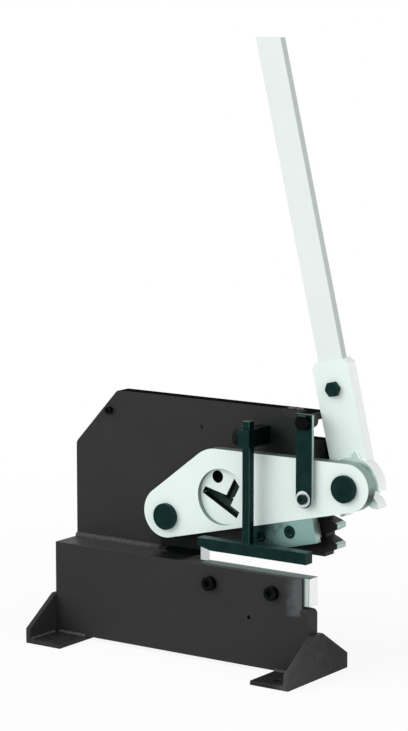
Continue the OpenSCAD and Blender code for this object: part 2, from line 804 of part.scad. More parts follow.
// Round hole and T slot, drawn about the die's middle with the jaw open
module profile_shape(rise) {
    end = slot_length / 2;
    side = slot_width / 2;
    stem_right = stem_at + stem_width;
    rotate(-jaw_rest) {
        translate([bar_hole_x, bar_hole_z]) circle(d = bar_hole_d);
        translate([slot_x, slot_z]) rotate(slot_tilt) polygon([
            [-end, -side], [end, -side], [end, side], [stem_right, side],
            [stem_right, stem_length - stem_slant / 2], [stem_at, stem_length + stem_slant / 2],
            [stem_at, rise], [-end, side]
        ]);
    }
}

module fixed_die() {
    color(steel_grey) at_jaw() difference() {
        union() {
            round_y(die_x, die_z, die_d, plate_front - die_ahead, plate_thick + die_ahead);
            round_y(die_x, die_z, die_d + 2 * die_flange, plate_back, die_flange_thick);
        }
        along_y(plate_front - die_ahead - 1, plate_thick + die_ahead + die_flange_thick + 2)
            translate(die_at) profile_shape(slot_width / 2);
        for (p = die_screws)
            round_y(p.x, p.y, die_screw_d + 2 * seat_play, plate_back - 1, die_flange_thick + 2);
    }
}

module fixed_die_screws() {
    color(steel_black) at_jaw() for (p = die_screws)
        back_screw(p.x, p.y, plate_back + die_flange_thick, die_screw_d, die_screw_head, die_screw_head_h,
            die_flange_thick + die_screw_grip);
}

module frame_bolts() {
    color(steel_black) for (p = frame_bolt_points)
        back_screw(p.x, p.y, plate_back, frame_bolt_d, frame_bolt_head, frame_bolt_head_h,
            plate_back - base_back + frame_bolt_grip);
}

// Pin with a round head at the front and a thinner end for washer and nut at the back
module headed_pin(x, z, head_back, shoulder, end) {
    round_y(x, z, pin_head_d, head_back - pin_head_h, pin_head_h);
    round_y(x, z, pin_d, head_back - 1, shoulder - head_back + 1);
    round_y(x, z, pin_end_d, shoulder - 1, end - shoulder + 1);
}

module washer_y(x, z, d, bore, y, thick) {
    difference() {
        round_y(x, z, d, y, thick);
        round_y(x, z, bore + 2 * seat_play, y - 1, thick + 2);
    }
}

module nut_y(x, z, across, bore, y, thick) {
    difference() {
        hex_y(x, z, across, y, thick);
        round_y(x, z, bore + 2 * seat_play, y - 1, thick + 2);
    }
}

module jaw_pivot_pin() {
    color(steel_black)
        headed_pin(pivot_x, pivot_z, jaw_front - face_gap, plate_back,
            plate_back + back_washer + pin_nut_thick + pin_end);
}

module jaw_thrust_washer() {
    color(steel_pale)
        washer_y(pivot_x, pivot_z, thrust_d, pin_d, jaw_back + face_gap, jaw_space - face_gap);
}

module jaw_pivot_washer() {
    color(steel_pale) washer_y(pivot_x, pivot_z, pivot_washer_d, pin_end_d, plate_back, back_washer);
}

module jaw_pivot_nut() {
    color(steel_black) nut_y(pivot_x, pivot_z, pin_nut, pin_end_d, plate_back + back_washer, pin_nut_thick);
}

module stop_bracket() {
    color(paint_dark) difference() {
        union() {
            translate([0, 0, bracket_bottom]) linear_extrude(bracket_height) polygon([
                [bracket_left, plate_front], [bracket_arm_left, plate_front],
                [bracket_arm_left, strap_back], [bracket_right, strap_back],
                [bracket_right, plate_back], [bracket_left, plate_back]
            ]);
            round_y(strap_x, strap_bolt_z, strap_boss_d, strap_back, strap_boss_depth);
        }
        for (x = bracket_screw_x) translate([x, plate_front + plate_thick / 2, bracket_bottom - 1]) {
            cylinder(d = bracket_screw_d + 2 * seat_play, h = bracket_height + 2);
            translate([0, 0, bracket_height - bracket_screw_head_h + 1])
                cylinder(d = bracket_screw_head + 2 * seat_play, h = bracket_height);
        }
        round_y(strap_x, strap_bolt_z, strap_bolt_d + 2 * seat_play, strap_back - 1, strap_bolt_grip + 2);
    }
}

module bracket_screws() {
    color(steel_black) for (x = bracket_screw_x)
        translate([x, plate_front + plate_thick / 2, plate_top]) difference() {
            union() {
                translate([0, 0, -bracket_height - bracket_screw_grip])
                    cylinder(d = bracket_screw_d,
                        h = bracket_height + bracket_screw_grip - bracket_screw_head_h + 1);
                translate([0, 0, -bracket_screw_head_h])
                    cylinder(d = bracket_screw_head, h = bracket_screw_head_h);
            }
            translate([0, 0, -bracket_screw_head_h * 0.6])
                cylinder(d = bracket_screw_d * 0.8, h = bracket_screw_head_h, $fn = 6);
        }
}

module guide_strap() {
    color(steel_black) difference() {
        along_y(strap_front, strap_thick) {
            translate([strap_x - strap_width / 2, guide_z])
                square([strap_width, plate_top + strap_over - guide_z]);
            translate([strap_x, guide_z]) circle(d = strap_width);
        }
        round_y(strap_x, strap_bolt_z, strap_bolt_d + 2 * seat_play, strap_front - 1, strap_thick + 2);
        round_y(strap_x, guide_z, guide_screw_d + 2 * seat_play, strap_front - 1, strap_thick + 2);
    }
}

module strap_bolt() {
    color(steel_black) {
        hex_y(strap_x, strap_bolt_z, strap_bolt_across, strap_front - strap_bolt_head_h, strap_bolt_head_h);
        round_y(strap_x, strap_bolt_z, strap_bolt_d, strap_front - 1, strap_thick + strap_bolt_grip + 1);
    }
}

module guide_screw() {
    color(steel_black) front_screw(strap_x, guide_z, strap_front - guide_washer_thick, guide_screw_d,
        guide_screw_head, guide_screw_head_h, strap_thick + guide_washer_thick);
}

module guide_washer() {
    color(steel_pale) washer_y(strap_x, guide_z, guide_washer_d, guide_screw_d,
        strap_front - guide_washer_thick, guide_washer_thick);
}

module guide_pad() {
    color(steel_pale) round_y(strap_x, guide_z, guide_pad_d, strap_back, jaw_front - face_gap - strap_back);
}

module hold_down_arm() {
    color(steel_black) difference() {
        translate([arm_left, arm_front, arm_bottom])
            cube([arm_width, plate_front - arm_front, arm_height]);
        translate([arm_x, rod_y, arm_bottom - 1]) linear_extrude(arm_height + 2)
            square(rod_side + 2 * face_gap, center = true);
        round_x(rod_y, arm_z, clamp_thread + 2 * run_play, arm_left - 1, arm_width / 2 + 1);
        for (z = arm_screw_z)
            round_y(arm_x, z, arm_screw_d + 2 * seat_play,
                plate_front - arm_screw_grip - 1, arm_screw_grip + 2);
    }
}

module arm_screws() {
    color(steel_black) for (z = arm_screw_z)
        back_screw(arm_x, z, plate_back, arm_screw_d, arm_screw_head, arm_screw_head_h,
            plate_thick + arm_screw_grip);
}

module frame_screw() {
    color(steel_black) front_screw(corner_screw_x, corner_screw_z, plate_front, corner_screw_d,
        corner_screw_head, corner_screw_head_h, corner_screw_grip);
}

module jaw_shape() {
    top_left = tangent(jaw_left, jaw_left_r, jaw_hump, jaw_hump_r, 1);
    top_right = tangent(jaw_hump, jaw_hump_r, jaw_right, jaw_right_r, 1);
    polygon([
        jaw_left, top_left[0], top_left[1], jaw_hump, top_right[0], top_right[1], jaw_right,
        jaw_bottom_edge[1], jaw_bottom_edge[0]
    ]);
    translate(jaw_left) circle(r = jaw_left_r);
    translate(jaw_hump) circle(r = jaw_hump_r);
    translate(jaw_right) circle(r = jaw_right_r);
}

module jaw() {
    color(paint_pale) at_jaw() difference() {
        union() {
            along_y(jaw_front, jaw_thick) jaw_shape();
            along_y(jaw_front + upper_blade_thick, jaw_thick - upper_blade_thick) polygon([
                [upper_blade_start + tongue_in, 0],
                [upper_blade_start + tongue_in, tongue_up - upper_blade_reach],
                [upper_blade_end - tongue_in, tongue_up - upper_blade_reach],
                [upper_blade_end - tongue_in, 0]
            ]);
        }
        round_y(0, 0, bush_d + 2 * seat_play, jaw_front - 1, jaw_thick + 2);
        round_y(centre_distance, 0, pin_d + 2 * seat_play, jaw_front - 1, jaw_thick + 2);
        round_y(die_x, die_z, die_d + 2 * seat_play, jaw_front - 1, jaw_thick + 2);
        for (p = upper_screws) round_y(p.x, p.y, upper_screw_d + 2 * seat_play, jaw_front, jaw_thick + 1);
        round_y(die_pin_at.x, die_pin_at.y, die_pin_d + 2 * seat_play, jaw_front + die_recess, jaw_thick);
    }
}

module jaw_bush() {
    color(steel_pale) at_jaw() difference() {
        round_y(0, 0, bush_d, jaw_front, jaw_thick);
        round_y(0, 0, pin_d + 2 * run_play, jaw_front - 1, jaw_thick + 2);
    }
}

module upper_blade() {
    color(steel_grey) at_jaw() difference() {
        along_y(jaw_front, upper_blade_thick) polygon([
            [upper_blade_start, -upper_blade_reach], [upper_blade_end, -upper_blade_reach],
            below_jaw(upper_blade_end, 0), below_jaw(upper_blade_start, 0)
        ]);
        for (p = upper_screws) {
            round_y(p.x, p.y, upper_screw_d + 2 * seat_play, jaw_front - 1, upper_blade_thick + 2);
            round_y(p.x, p.y, upper_screw_head + 2 * seat_play, jaw_front - 1, upper_screw_sink + 1);
        }
    }
}

module upper_blade_screws() {
    color(steel_black) at_jaw() for (p = upper_screws)
        front_screw(p.x, p.y, jaw_front + upper_screw_sink, upper_screw_d, upper_screw_head,
            upper_screw_head_h, jaw_thick - upper_screw_sink - face_gap);
}

module moving_die() {
    color(paint_pale) at_jaw() difference() {
        round_y(die_x, die_z, die_d, jaw_front + die_recess,
            plate_front - die_ahead - face_gap - jaw_front - die_recess);
        along_y(jaw_front, jaw_thick + jaw_space) translate(die_at) profile_shape(slot_rise);
        round_y(die_pin_at.x, die_pin_at.y, die_pin_d + 2 * seat_play, jaw_front, jaw_thick + jaw_space);
    }
}

module die_pin() {
    color(steel_grey) at_jaw()
        round_y(die_pin_at.x, die_pin_at.y, die_pin_d, jaw_front + die_recess, jaw_thick - die_recess);
}

module lever_pin() {
    color(steel_black) headed_pin(pin_x, pin_z, jaw_front, socket_back + face_gap,
        socket_back + face_gap + back_washer + pin_nut_thick + pin_end);
}

module lever_thrust_washer() {
    color(steel_pale)
        washer_y(pin_x, pin_z, thrust_d, pin_d, jaw_back, pinion_front - face_gap - jaw_back);
}

module lever_pin_washer() {
    color(steel_pale)
        washer_y(pin_x, pin_z, lever_washer_d, pin_end_d, socket_back + face_gap, back_washer);
}

module lever_pin_nut() {
    color(steel_black)
        nut_y(pin_x, pin_z, pin_nut, pin_end_d, socket_back + face_gap + back_washer, pin_nut_thick);
}

// The pinion has teeth where they mesh, and an uncut rim with one tooth on its other side
module pinion_shape() {
    circle(r = pinion_root + 0.5);
    intersection() {
        circle(r = rim_r, $fn = 180);
        polygon(concat([[0, 0]],
            [for (i = [0 : 3]) polar(1.2 * rim_r, rim_from + (rim_to - rim_from) * i / 3)]));
    }
    for (k = [-1, 0, 1, 3, 6]) rotate(pinion_phase + k * 360 / pinion_teeth)
        polygon(tooth_points(pinion_r, pinion_teeth, pinion_root - 1, pinion_tip, 8));
}

module socket_shape() {
    translate([-socket_offset, 0]) polygon([
        [-neck_half, 0], [-neck_half, neck_left], [-socket_half, neck_left_end],
        [-socket_half, socket_length - socket_chamfer], [socket_chamfer - socket_half, socket_length],
        [socket_half - socket_chamfer, socket_length], [socket_half, socket_length - socket_chamfer],
        [socket_half, 0]
    ]);
    circle(r = pinion_root);
}

module lever_socket() {
    color(paint_pale) at_lever() difference() {
        union() {
            along_y(pinion_front, socket_thick) pinion_shape();
            along_y(socket_front, socket_thick) socket_shape();
        }
        round_y(0, 0, bush_d + 2 * seat_play, pinion_front - 1, socket_back - pinion_front + 2);
        translate([-socket_offset - bar_width / 2 - seat_play, bar_front - seat_play, pocket_bottom])
            cube([bar_width + 2 * seat_play, bar_thick + 2 * seat_play, socket_length]);
        round_y(-socket_offset, bolt_height, clamp_bolt_d + 2 * seat_play,
            socket_front - 1, socket_thick + 2);
    }
}

module lever_bush() {
    color(steel_pale) difference() {
        round_y(pin_x, pin_z, bush_d, pinion_front, socket_back - pinion_front);
        round_y(pin_x, pin_z, pin_d + 2 * run_play, pinion_front - 1, socket_back - pinion_front + 2);
    }
}

// The bar's end is cut level when the lever is up
module lever_bar() {
    rise = bar_width / 2 * tan(lever_lean);
    color(paint_pale) at_lever() translate([-socket_offset, 0, 0]) difference() {
        along_y(bar_front, bar_thick) polygon([
            [-bar_width / 2, pocket_bottom], [bar_width / 2, pocket_bottom],
            [bar_width / 2, lever_length - rise], [-bar_width / 2, lever_length + rise]
        ]);
        round_y(0, bolt_height, clamp_bolt_d + 2 * seat_play, bar_front - 1, bar_thick + 2);
    }
}

module clamp_bolt() {
    color(steel_black) at_lever() {
        hex_y(-socket_offset, bolt_height, clamp_bolt_across,
            socket_front - clamp_bolt_head_h, clamp_bolt_head_h);
        round_y(-socket_offset, bolt_height, clamp_bolt_d, socket_front - 1,
            socket_thick + clamp_nut_thick + clamp_bolt_end + 1);
    }
}

module clamp_nut() {
    color(steel_black) at_lever()
        nut_y(-socket_offset, bolt_height, clamp_bolt_across, clamp_bolt_d, socket_back, clamp_nut_thick);
}

module hold_down_rod() {
    color(steel_black) difference() {
        translate([arm_x, rod_y, bar_top])
            linear_extrude(rod_top - bar_top) square(rod_side, center = true);
        translate([arm_x, rod_y, bar_top - 1])
            cylinder(d = bar_screw_d + 2 * seat_play, h = bar_screw_grip + 3);
    }
}

module hold_down_bar() {
    color(steel_black) difference() {
        along_y(clamp_bar_front, clamp_bar_depth) polygon([
            [clamp_bar_left, bar_bottom + clamp_bar_rise], [clamp_bar_left + clamp_bar_slope, bar_bottom],
            [clamp_bar_right, bar_bottom], [clamp_bar_right, bar_top], [clamp_bar_left, bar_top]
        ]);
        translate([arm_x, rod_y, bar_bottom - 1]) {
            cylinder(d = bar_screw_d + 2 * seat_play, h = clamp_bar_height + 2);
            cylinder(d = bar_screw_head + 2 * seat_play, h = 1 + bar_screw_in + bar_screw_head_h);
        }
    }
}

module bar_screw() {
    color(steel_black) translate([arm_x, rod_y, bar_bottom]) difference() {
        union() {
            translate([0, 0, bar_screw_in]) cylinder(d = bar_screw_head, h = bar_screw_head_h);
            translate([0, 0, bar_screw_in + 1])
                cylinder(d = bar_screw_d, h = clamp_bar_height + bar_screw_grip - bar_screw_in - 1);
        }
        cylinder(d = bar_screw_d * 0.9, h = bar_screw_in + bar_screw_head_h * 0.5, $fn = 6);
    }
}

module clamp_screw() {
    color(steel_black) {
        round_x(rod_y, arm_z, clamp_thread, arm_left - knob_gap - 1,
            arm_width / 2 + knob_gap + 1 - rod_side / 2 - face_gap);
        difference() {
            round_x(rod_y, arm_z, knob_d, arm_left - knob_gap - knob_length, knob_length);
            translate([arm_left - knob_gap - knob_length - 1, rod_y, arm_z]) rotate([0, 90, 0])
                cylinder(d = clamp_thread, h = knob_length / 2 + 1, $fn = 6);
        }
    }
}

base_plate();
spacer_block();
frame_plate();
weld_beads();
left_foot();
right_foot();
lower_blade();
lower_blade_screws();
fixed_die();
fixed_die_screws();
frame_bolts();
jaw_pivot_pin();
jaw_thrust_washer();
jaw_pivot_washer();
jaw_pivot_nut();
stop_bracket();
bracket_screws();
guide_strap();
strap_bolt();
guide_screw();
guide_washer();
guide_pad();
hold_down_arm();
arm_screws();
frame_screw();
jaw();
jaw_bush();
upper_blade();
upper_blade_screws();
moving_die();
die_pin();
lever_pin();
lever_thrust_washer();
lever_pin_washer();
lever_pin_nut();
lever_socket();
lever_bush();
lever_bar();
clamp_bolt();
clamp_nut();
hold_down_rod();
hold_down_bar();
bar_screw();
clamp_screw();
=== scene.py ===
"""Looks of a hand lever profile shear: finishes, softened edges, weld beads, studio and camera."""
import logging
import math
from abc import ABC, abstractmethod
from collections.abc import Callable
from dataclasses import dataclass, field, replace
from enum import Enum

import bpy
from bpy.types import Material, Node, NodeSocket, NodeTree, Object
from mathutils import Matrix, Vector


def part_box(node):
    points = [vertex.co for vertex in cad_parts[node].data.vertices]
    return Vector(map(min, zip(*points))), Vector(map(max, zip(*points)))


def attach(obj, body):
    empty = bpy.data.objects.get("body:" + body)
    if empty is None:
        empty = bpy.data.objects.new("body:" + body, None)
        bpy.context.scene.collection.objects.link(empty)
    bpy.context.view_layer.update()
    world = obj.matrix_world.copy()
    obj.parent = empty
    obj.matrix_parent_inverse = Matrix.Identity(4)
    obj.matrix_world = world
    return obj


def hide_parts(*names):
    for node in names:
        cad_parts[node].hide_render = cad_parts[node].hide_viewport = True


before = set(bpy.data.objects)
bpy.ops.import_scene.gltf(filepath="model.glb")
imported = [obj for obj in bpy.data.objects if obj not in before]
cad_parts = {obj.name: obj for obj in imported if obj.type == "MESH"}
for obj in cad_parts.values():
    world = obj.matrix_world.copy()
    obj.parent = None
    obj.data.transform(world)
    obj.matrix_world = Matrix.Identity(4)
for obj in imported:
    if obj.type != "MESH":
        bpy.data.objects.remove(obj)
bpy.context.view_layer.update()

log = logging.getLogger("profile_shear")

# One millimetre, in metres
MM = 0.001
# X and Z of the round hole through both dies, and the reach of its wall, in millimetres
BAR_HOLE = (41.2, 251.5)
BAR_REACH = 9.5
# Vertices nearer than this, in metres, are one; faces that bend less than this, in degrees, are joined
SAME_PLACE = 0.000004
FLAT_BEND = 0.6
# Reach for picking a ring of vertices, in metres
RING_REACH = 0.02 * MM
# Least share of a direction in the normal of a face that looks that way, and of one that leans to it
SQUARE_ON = 0.9
LEANING = 0.5
# Weight of a face's area in the smoothed shading, in percent
FLAT_WEIGHT = 90

# Noises: waves per metre, octaves and strength of the finer octaves
PAINT_BLOTCH = (11.0, 5.0, 0.6)
PAINT_WEAR = (160.0, 6.0, 0.7)
PAINT_PEEL = (620.0, 2.0, 0.5)
PAINT_SHEEN = (45.0, 4.0, 0.6)
OXIDE_MARKS = (60.0, 6.0, 0.65)
OXIDE_SHEEN = (120.0, 5.0, 0.6)
OXIDE_GRAIN = (900.0, 2.0, 0.55)
STEEL_LINES = (60.0, 4.0, 0.7)
PATCH_RIM = (70.0, 4.0, 0.55)
# Limits within which most of a noise's values lie, and those that bare the metal of a rubbed edge
NOISE_RANGE = (0.3, 0.7)
WEAR_RANGE = (0.46, 0.66)
# How far a patch's rim strays, as a share of its half axes
RIM_SWING = 0.12
# Swings of the roughness around its middle value
PAINT_SWING = (-0.06, 0.07)
OXIDE_SWING = (-0.08, 0.1)
STEEL_SWING = (-0.06, 0.1)
# Depths of the bumps in metres, and strengths of those that no finish sets
PEEL_DEPTH = 0.00012
OXIDE_BUMP = (0.00006, 0.25)
STEEL_BUMP = (0.00005, 0.35)
# Handling marks on black steel: largest share, brightness factor and added grey
MARK_SHARE = 0.8
MARK_FACTOR = 1.5
MARK_GREY = 0.002
# Brightness factor of honed steel edges, and the brightest steel
HONED = 1.25
STEEL_LIMIT = 0.9
# Numbers of a mix node's colour sockets
MIX_FIRST, MIX_SECOND, MIX_RESULT = 6, 7, 2
# Waves that make a weld's drops uneven: height, step per drop and start
WELD_WAVES = ((0.09, 2.7, 0.0), (0.05, 1.3, 1.0))

FaceTest = Callable[[Vector, Vector], bool]
PlaceTest = Callable[[Vector], bool]
Triple = tuple[float, float, float]
Screen = tuple[int, int, int]
Light = tuple[float, ...]


class Grain(Enum):
    """Direction in which a ground steel face shows its fine lines."""

    ALONG_X = (1.0, 40.0, 40.0)
    ALONG_Z = (40.0, 40.0, 1.0)
    ROUND = (14.0, 14.0, 14.0)


class Side(Enum):
    """Directions in which a face can look."""

    RIGHT = (1, 0, 0)
    FRONT = (0, -1, 0)
    BACK = (0, 1, 0)
    TOP = (0, 0, 1)


class Slot(Enum):
    """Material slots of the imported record."""

    FRAME_PAINT = "frame_paint"
    LEVER_PAINT = "lever_paint"
    BLACK_STEEL = "black_steel"
    BLADE_STEEL = "blade_steel"
    BRIGHT_STEEL = "bright_steel"


def linear(rgb: Screen) -> Light:
    """Turns a screen colour into scene light values.

    Args:
        rgb: Red, green and blue from 0 to 255.

    Returns:
        The colour as linear red, green, blue and an alpha of one.
    """
    values = []
    for c in rgb:
        v = c / 255
        values.append(v / 12.92 if v <= 0.04045 else ((v + 0.055) / 1.055) ** 2.4)
    return (values[0], values[1], values[2], 1.0)


def scaled(colour: Light, factor: float) -> Light:
    """Gives a colour with its light values scaled and an alpha of one."""
    return tuple(c * factor for c in colour[:3]) + (1.0,)


def add_node(tree: NodeTree, kind: str, sockets: dict[str | int, object], **settings: str) -> Node:
    """Adds a shader node.

    Args:
        tree: Node tree to add it to.
        kind: Type of the node, without the start that all types share.
        sockets: Constants, or outputs of other nodes, for its inputs.
        settings: Its properties, such as an operation.

    Returns:
        The node.
    """
    node = tree.nodes.new("ShaderNode" + kind)
    for key, value in settings.items():
        setattr(node, key, value)
    for key, value in sockets.items():
        if isinstance(value, NodeSocket):
            tree.links.new(value, node.inputs[key])
        else:
            node.inputs[key].default_value = value
    return node


class NodeBoard:
    """A new material with its shader, and short calls that add nodes to it."""

    def __init__(self, name: str) -> None:
        """Starts the material and finds its shader.

        Args:
            name: Name of the material.
        """
        self.material = bpy.data.materials.new(name)
        self.material.use_nodes = True
        self.tree = self.material.node_tree
        self.shader = self.tree.nodes["Principled BSDF"]
        self.place = self.tree.nodes.new("ShaderNodeTexCoord").outputs["Object"]

    def set(self, **sockets: object) -> None:
        """Sets constant values on the shader, with spaces in socket names written as underscores."""
        for key, value in sockets.items():
            self.shader.inputs[key.replace("_", " ")].default_value = value

    def link(self, source: NodeSocket, socket: str) -> None:
        """Links a node's output to one of the shader's inputs."""
        self.tree.links.new(source, self.shader.inputs[socket])

    def stretched(self, scale: Triple) -> NodeSocket:
        """Gives the object's coordinates, scaled per axis.

        Args:
            scale: Factors along X, Y and Z.

        Returns:
            The scaled coordinates.
        """
        return add_node(self.tree, "Mapping", {"Vector": self.place, "Scale": scale}).outputs["Vector"]

    def noise(self, scale: float, detail: float, rough: float, at: NodeSocket | None = None) -> NodeSocket:
        """Adds a noise.

        Args:
            scale: Waves per metre, about.
            detail: Octaves of finer noise.
            rough: Strength of the finer octaves.
            at: Coordinates, or none for the object's own.

        Returns:
            The noise value.
        """
        sockets = {"Vector": at or self.place, "Scale": scale, "Detail": detail, "Roughness": rough}
        return add_node(self.tree, "TexNoise", sockets).outputs["Fac"]

    def spread(self, value: NodeSocket, low: float, high: float,
               limits: tuple[float, float] = NOISE_RANGE) -> NodeSocket:
        """Maps a value between two limits to new limits.

        Args:
            value: Value to map.
            low: Result at the first limit.
            high: Result at the second limit.
            limits: Values that give low and high.

        Returns:
            The mapped value.
        """
        sockets = {"Value": value, "From Min": limits[0], "From Max": limits[1],
                   "To Min": low, "To Max": high}
        return add_node(self.tree, "MapRange", sockets).outputs["Result"]

    def sheen(self, value: NodeSocket, roughness: float, swing: tuple[float, float]) -> None:
        """Lets a value swing the shader's roughness around a middle value."""
        self.link(self.spread(value, roughness + swing[0], roughness + swing[1]), "Roughness")

    def mix(self, factor: NodeSocket, first: Light | NodeSocket, second: Light | NodeSocket) -> NodeSocket:
        """Mixes two colours.

        Args:
            factor: Share of the second colour.
            first: First colour, or a socket.
            second: Second colour, or a socket.

        Returns:
            The mixed colour.
        """
        sockets = {"Factor": factor, MIX_FIRST: first, MIX_SECOND: second}
        return add_node(self.tree, "Mix", sockets, data_type="RGBA").outputs[MIX_RESULT]

    def patch(self, centre: Triple, radii: Triple, soft: float) -> NodeSocket:
        """Gives a value that is one within an ellipsoid and falls to zero at its uneven rim.

        Args:
            centre: Middle of the ellipsoid, in millimetres.
            radii: Its half axes, in millimetres.
            soft: Share of the half axes over which the value falls.

        Returns:
            The value.
        """
        at = self.place
        for operation, numbers in (("SUBTRACT", centre), ("DIVIDE", radii)):
            sockets = {0: at, 1: [n * MM for n in numbers]}
            at = add_node(self.tree, "VectorMath", sockets, operation=operation).outputs["Vector"]
        length = add_node(self.tree, "VectorMath", {0: at}, operation="LENGTH").outputs["Value"]
        stray = self.spread(self.noise(*PATCH_RIM), -RIM_SWING, RIM_SWING)
        uneven = add_node(self.tree, "Math", {0: length, 1: stray}, operation="ADD")
        return self.spread(uneven.outputs[0], 1.0, 0.0, (1.0 - soft, 1.0))

    def bump(self, height: NodeSocket, depth: float, strength: float) -> None:
        """Adds a bump to the shader.

        Args:
            height: Height value.
            depth: Depth in metres.
            strength: Share of the bump that shows.
        """
        node = add_node(self.tree, "Bump", {"Height": height, "Distance": depth, "Strength": strength})
        self.link(node.outputs["Normal"], "Normal")


@dataclass(frozen=True)
class ColourPatch:
    """A soft patch of colour at a place on a piece, in millimetres; most lay painted shade and painted
    light.
    """

    centre: Triple
    radii: Triple
    colour: Screen
    strength: float = 1.0
    soft: float = 0.6

    def over(self, board: NodeBoard, colour: NodeSocket) -> NodeSocket:
        """Lays the patch over a colour.

        Args:
            board: Material to add the nodes to.
            colour: Colour under the patch.

        Returns:
            The colour with the patch.
        """
        share = board.spread(board.patch(self.centre, self.radii, self.soft), 0.0, self.strength, (0.0, 1.0))
        return board.mix(share, colour, linear(self.colour))


@dataclass(frozen=True)
class Finish(ABC):
    """A surface finish, with one material for faces and one for edges, and its material slot."""

    name: str
    colour: Screen
    roughness: float
    slot: Slot = field(kw_only=True)

    def make(self, at_edge: bool) -> Material:
        """Makes one of the two materials.

        Args:
            at_edge: Whether it is the one for edges.

        Returns:
            The material.
        """
        board = NodeBoard(self.name + "_edge" if at_edge else self.name)
        self.fill(board, at_edge)
        return board.material

    @abstractmethod
    def fill(self, board: NodeBoard, at_edge: bool) -> None:
        """Adds the finish's nodes to a new material."""


@dataclass(frozen=True)
class Paint(Finish):
    """Sprayed paint with a fine orange peel, faint blotches and rubbed edges."""

    shade: float
    gloss: float
    peel: float
    bare: Screen
    wear: float
    patches: tuple[ColourPatch, ...] = ()

    def fill(self, board: NodeBoard, at_edge: bool) -> None:
        """Adds the nodes, with bare metal showing through at edges.

        Args:
            board: Material to add them to.
            at_edge: Whether it is for edges.
        """
        base = linear(self.colour)
        blotch = board.spread(board.noise(*PAINT_BLOTCH), 0.0, 1.0)
        colour = board.mix(blotch, base, scaled(base, self.shade))
        if at_edge:
            rubbed = board.spread(board.noise(*PAINT_WEAR), 0.0, self.wear, WEAR_RANGE)
            colour = board.mix(rubbed, colour, linear(self.bare))
        for colour_patch in self.patches:
            colour = colour_patch.over(board, colour)
        board.link(colour, "Base Color")
        board.sheen(board.noise(*PAINT_SHEEN), self.roughness, PAINT_SWING)
        board.bump(board.noise(*PAINT_PEEL), PEEL_DEPTH, self.peel)
        board.set(Specular_IOR_Level=self.gloss)


@dataclass(frozen=True)
class BlackOxide(Finish):
    """Blackened steel with an oily sheen and faint handling marks."""

    edge_lift: float = 2.2
    slot: Slot = field(default=Slot.BLACK_STEEL, kw_only=True)

    def fill(self, board: NodeBoard, at_edge: bool) -> None:
        """Adds the nodes, brighter at edges, which handling has rubbed; a large lift, as on the rod, is a
        painted highlight.

        Args:
            board: Material to add them to.
            at_edge: Whether it is for edges.
        """
        base = scaled(linear(self.colour), self.edge_lift if at_edge else 1.0)
        pale = tuple(c * MARK_FACTOR + MARK_GREY for c in base[:3]) + (1.0,)
        marks = board.spread(board.noise(*OXIDE_MARKS), 0.0, MARK_SHARE)
        board.link(board.mix(marks, base, pale), "Base Color")
        board.sheen(board.noise(*OXIDE_SHEEN), self.roughness, OXIDE_SWING)
        board.bump(board.noise(*OXIDE_GRAIN), *OXIDE_BUMP)
        board.set(Metallic=1.0)


@dataclass(frozen=True)
class GroundSteel(Finish):
    """Bare steel with grinding lines."""

    grain: Grain
    patches: tuple[ColourPatch, ...] = ()
    dull: float = 0.78
    slot: Slot = field(default=Slot.BLADE_STEEL, kw_only=True)

    def fill(self, board: NodeBoard, at_edge: bool) -> None:
        """Adds the nodes, brighter at edges, which are honed.

        Args:
            board: Material to add them to.
            at_edge: Whether it is for edges.
        """
        lift = HONED if at_edge else 1.0
        base = tuple(min(c * lift, STEEL_LIMIT) for c in linear(self.colour)[:3]) + (1.0,)
        lines = board.noise(*STEEL_LINES, board.stretched(self.grain.value))
        colour = board.mix(board.spread(lines, 0.0, 1.0), base, scaled(base, self.dull))
        for colour_patch in self.patches:
            colour = colour_patch.over(board, colour)
        board.link(colour, "Base Color")
        board.sheen(lines, self.roughness, STEEL_SWING)
        board.bump(lines, *STEEL_BUMP)
        board.set(Metallic=1.0)


# Dark frame paint; its rubbed edges with bare metal showing are partly wear and partly painted highlights
# along the edges.
FRAME_PAINT = Paint("dark_frame_paint", (44, 43, 43), shade=0.84, roughness=0.5, gloss=0.1, peel=0.22,
                    bare=(96, 95, 94), wear=0.8, slot=Slot.FRAME_PAINT)
# Frame plate paint with painted shadows: the hold-down arm's shadow and a dark band from it down to the jaw,
# shade by the notch beside the strap, at the throat's end and over the rack; and a broad darker area around
# the arm.
SHADED_PLATE_PAINT = replace(FRAME_PAINT, name="shaded_plate_paint", patches=(
    ColourPatch((160, 35, 318), (105, 40, 62), (26, 31, 30), 0.8, 0.8),
    ColourPatch((124, 35, 306), (32, 40, 26), (12, 16, 16), 1.0, 0.6),
    ColourPatch((146, 35, 290), (50, 40, 24), (16, 18, 18), 0.9, 0.7),
    ColourPatch((204, 35, 302), (18, 30, 24), (8, 17, 17), 1.0, 0.6),
    ColourPatch((-20, 35, 146), (62, 30, 46), (6, 9, 9), 1.0, 0.35),
    ColourPatch((196, 35, 196), (44, 30, 46), (12, 9, 10), 0.95, 0.5),
))
# Lighter paint on the upper faces of base plate and spacer: painted light, as they face up; with a darker
# teal line along the front of the lip, and painted shadow at the throat's end.
LIT_LEDGE_PAINT = replace(FRAME_PAINT, name="lit_ledge_paint", colour=(62, 62, 62), patches=(
    ColourPatch((120, -11, 168), (130, 12, 12), (34, 50, 47), 0.9, 0.4),
    ColourPatch((-20, 20, 130), (36, 60, 30), (7, 9, 9), 1.0, 0.35),
))
# Base plate's bevel, lighter towards its end: painted highlight.
LIT_BEVEL_PAINT = replace(FRAME_PAINT, name="lit_bevel_paint", patches=(
    ColourPatch((214, -12, 100), (39, 60, 120), (78, 80, 82), 1.0, 0.4),
))
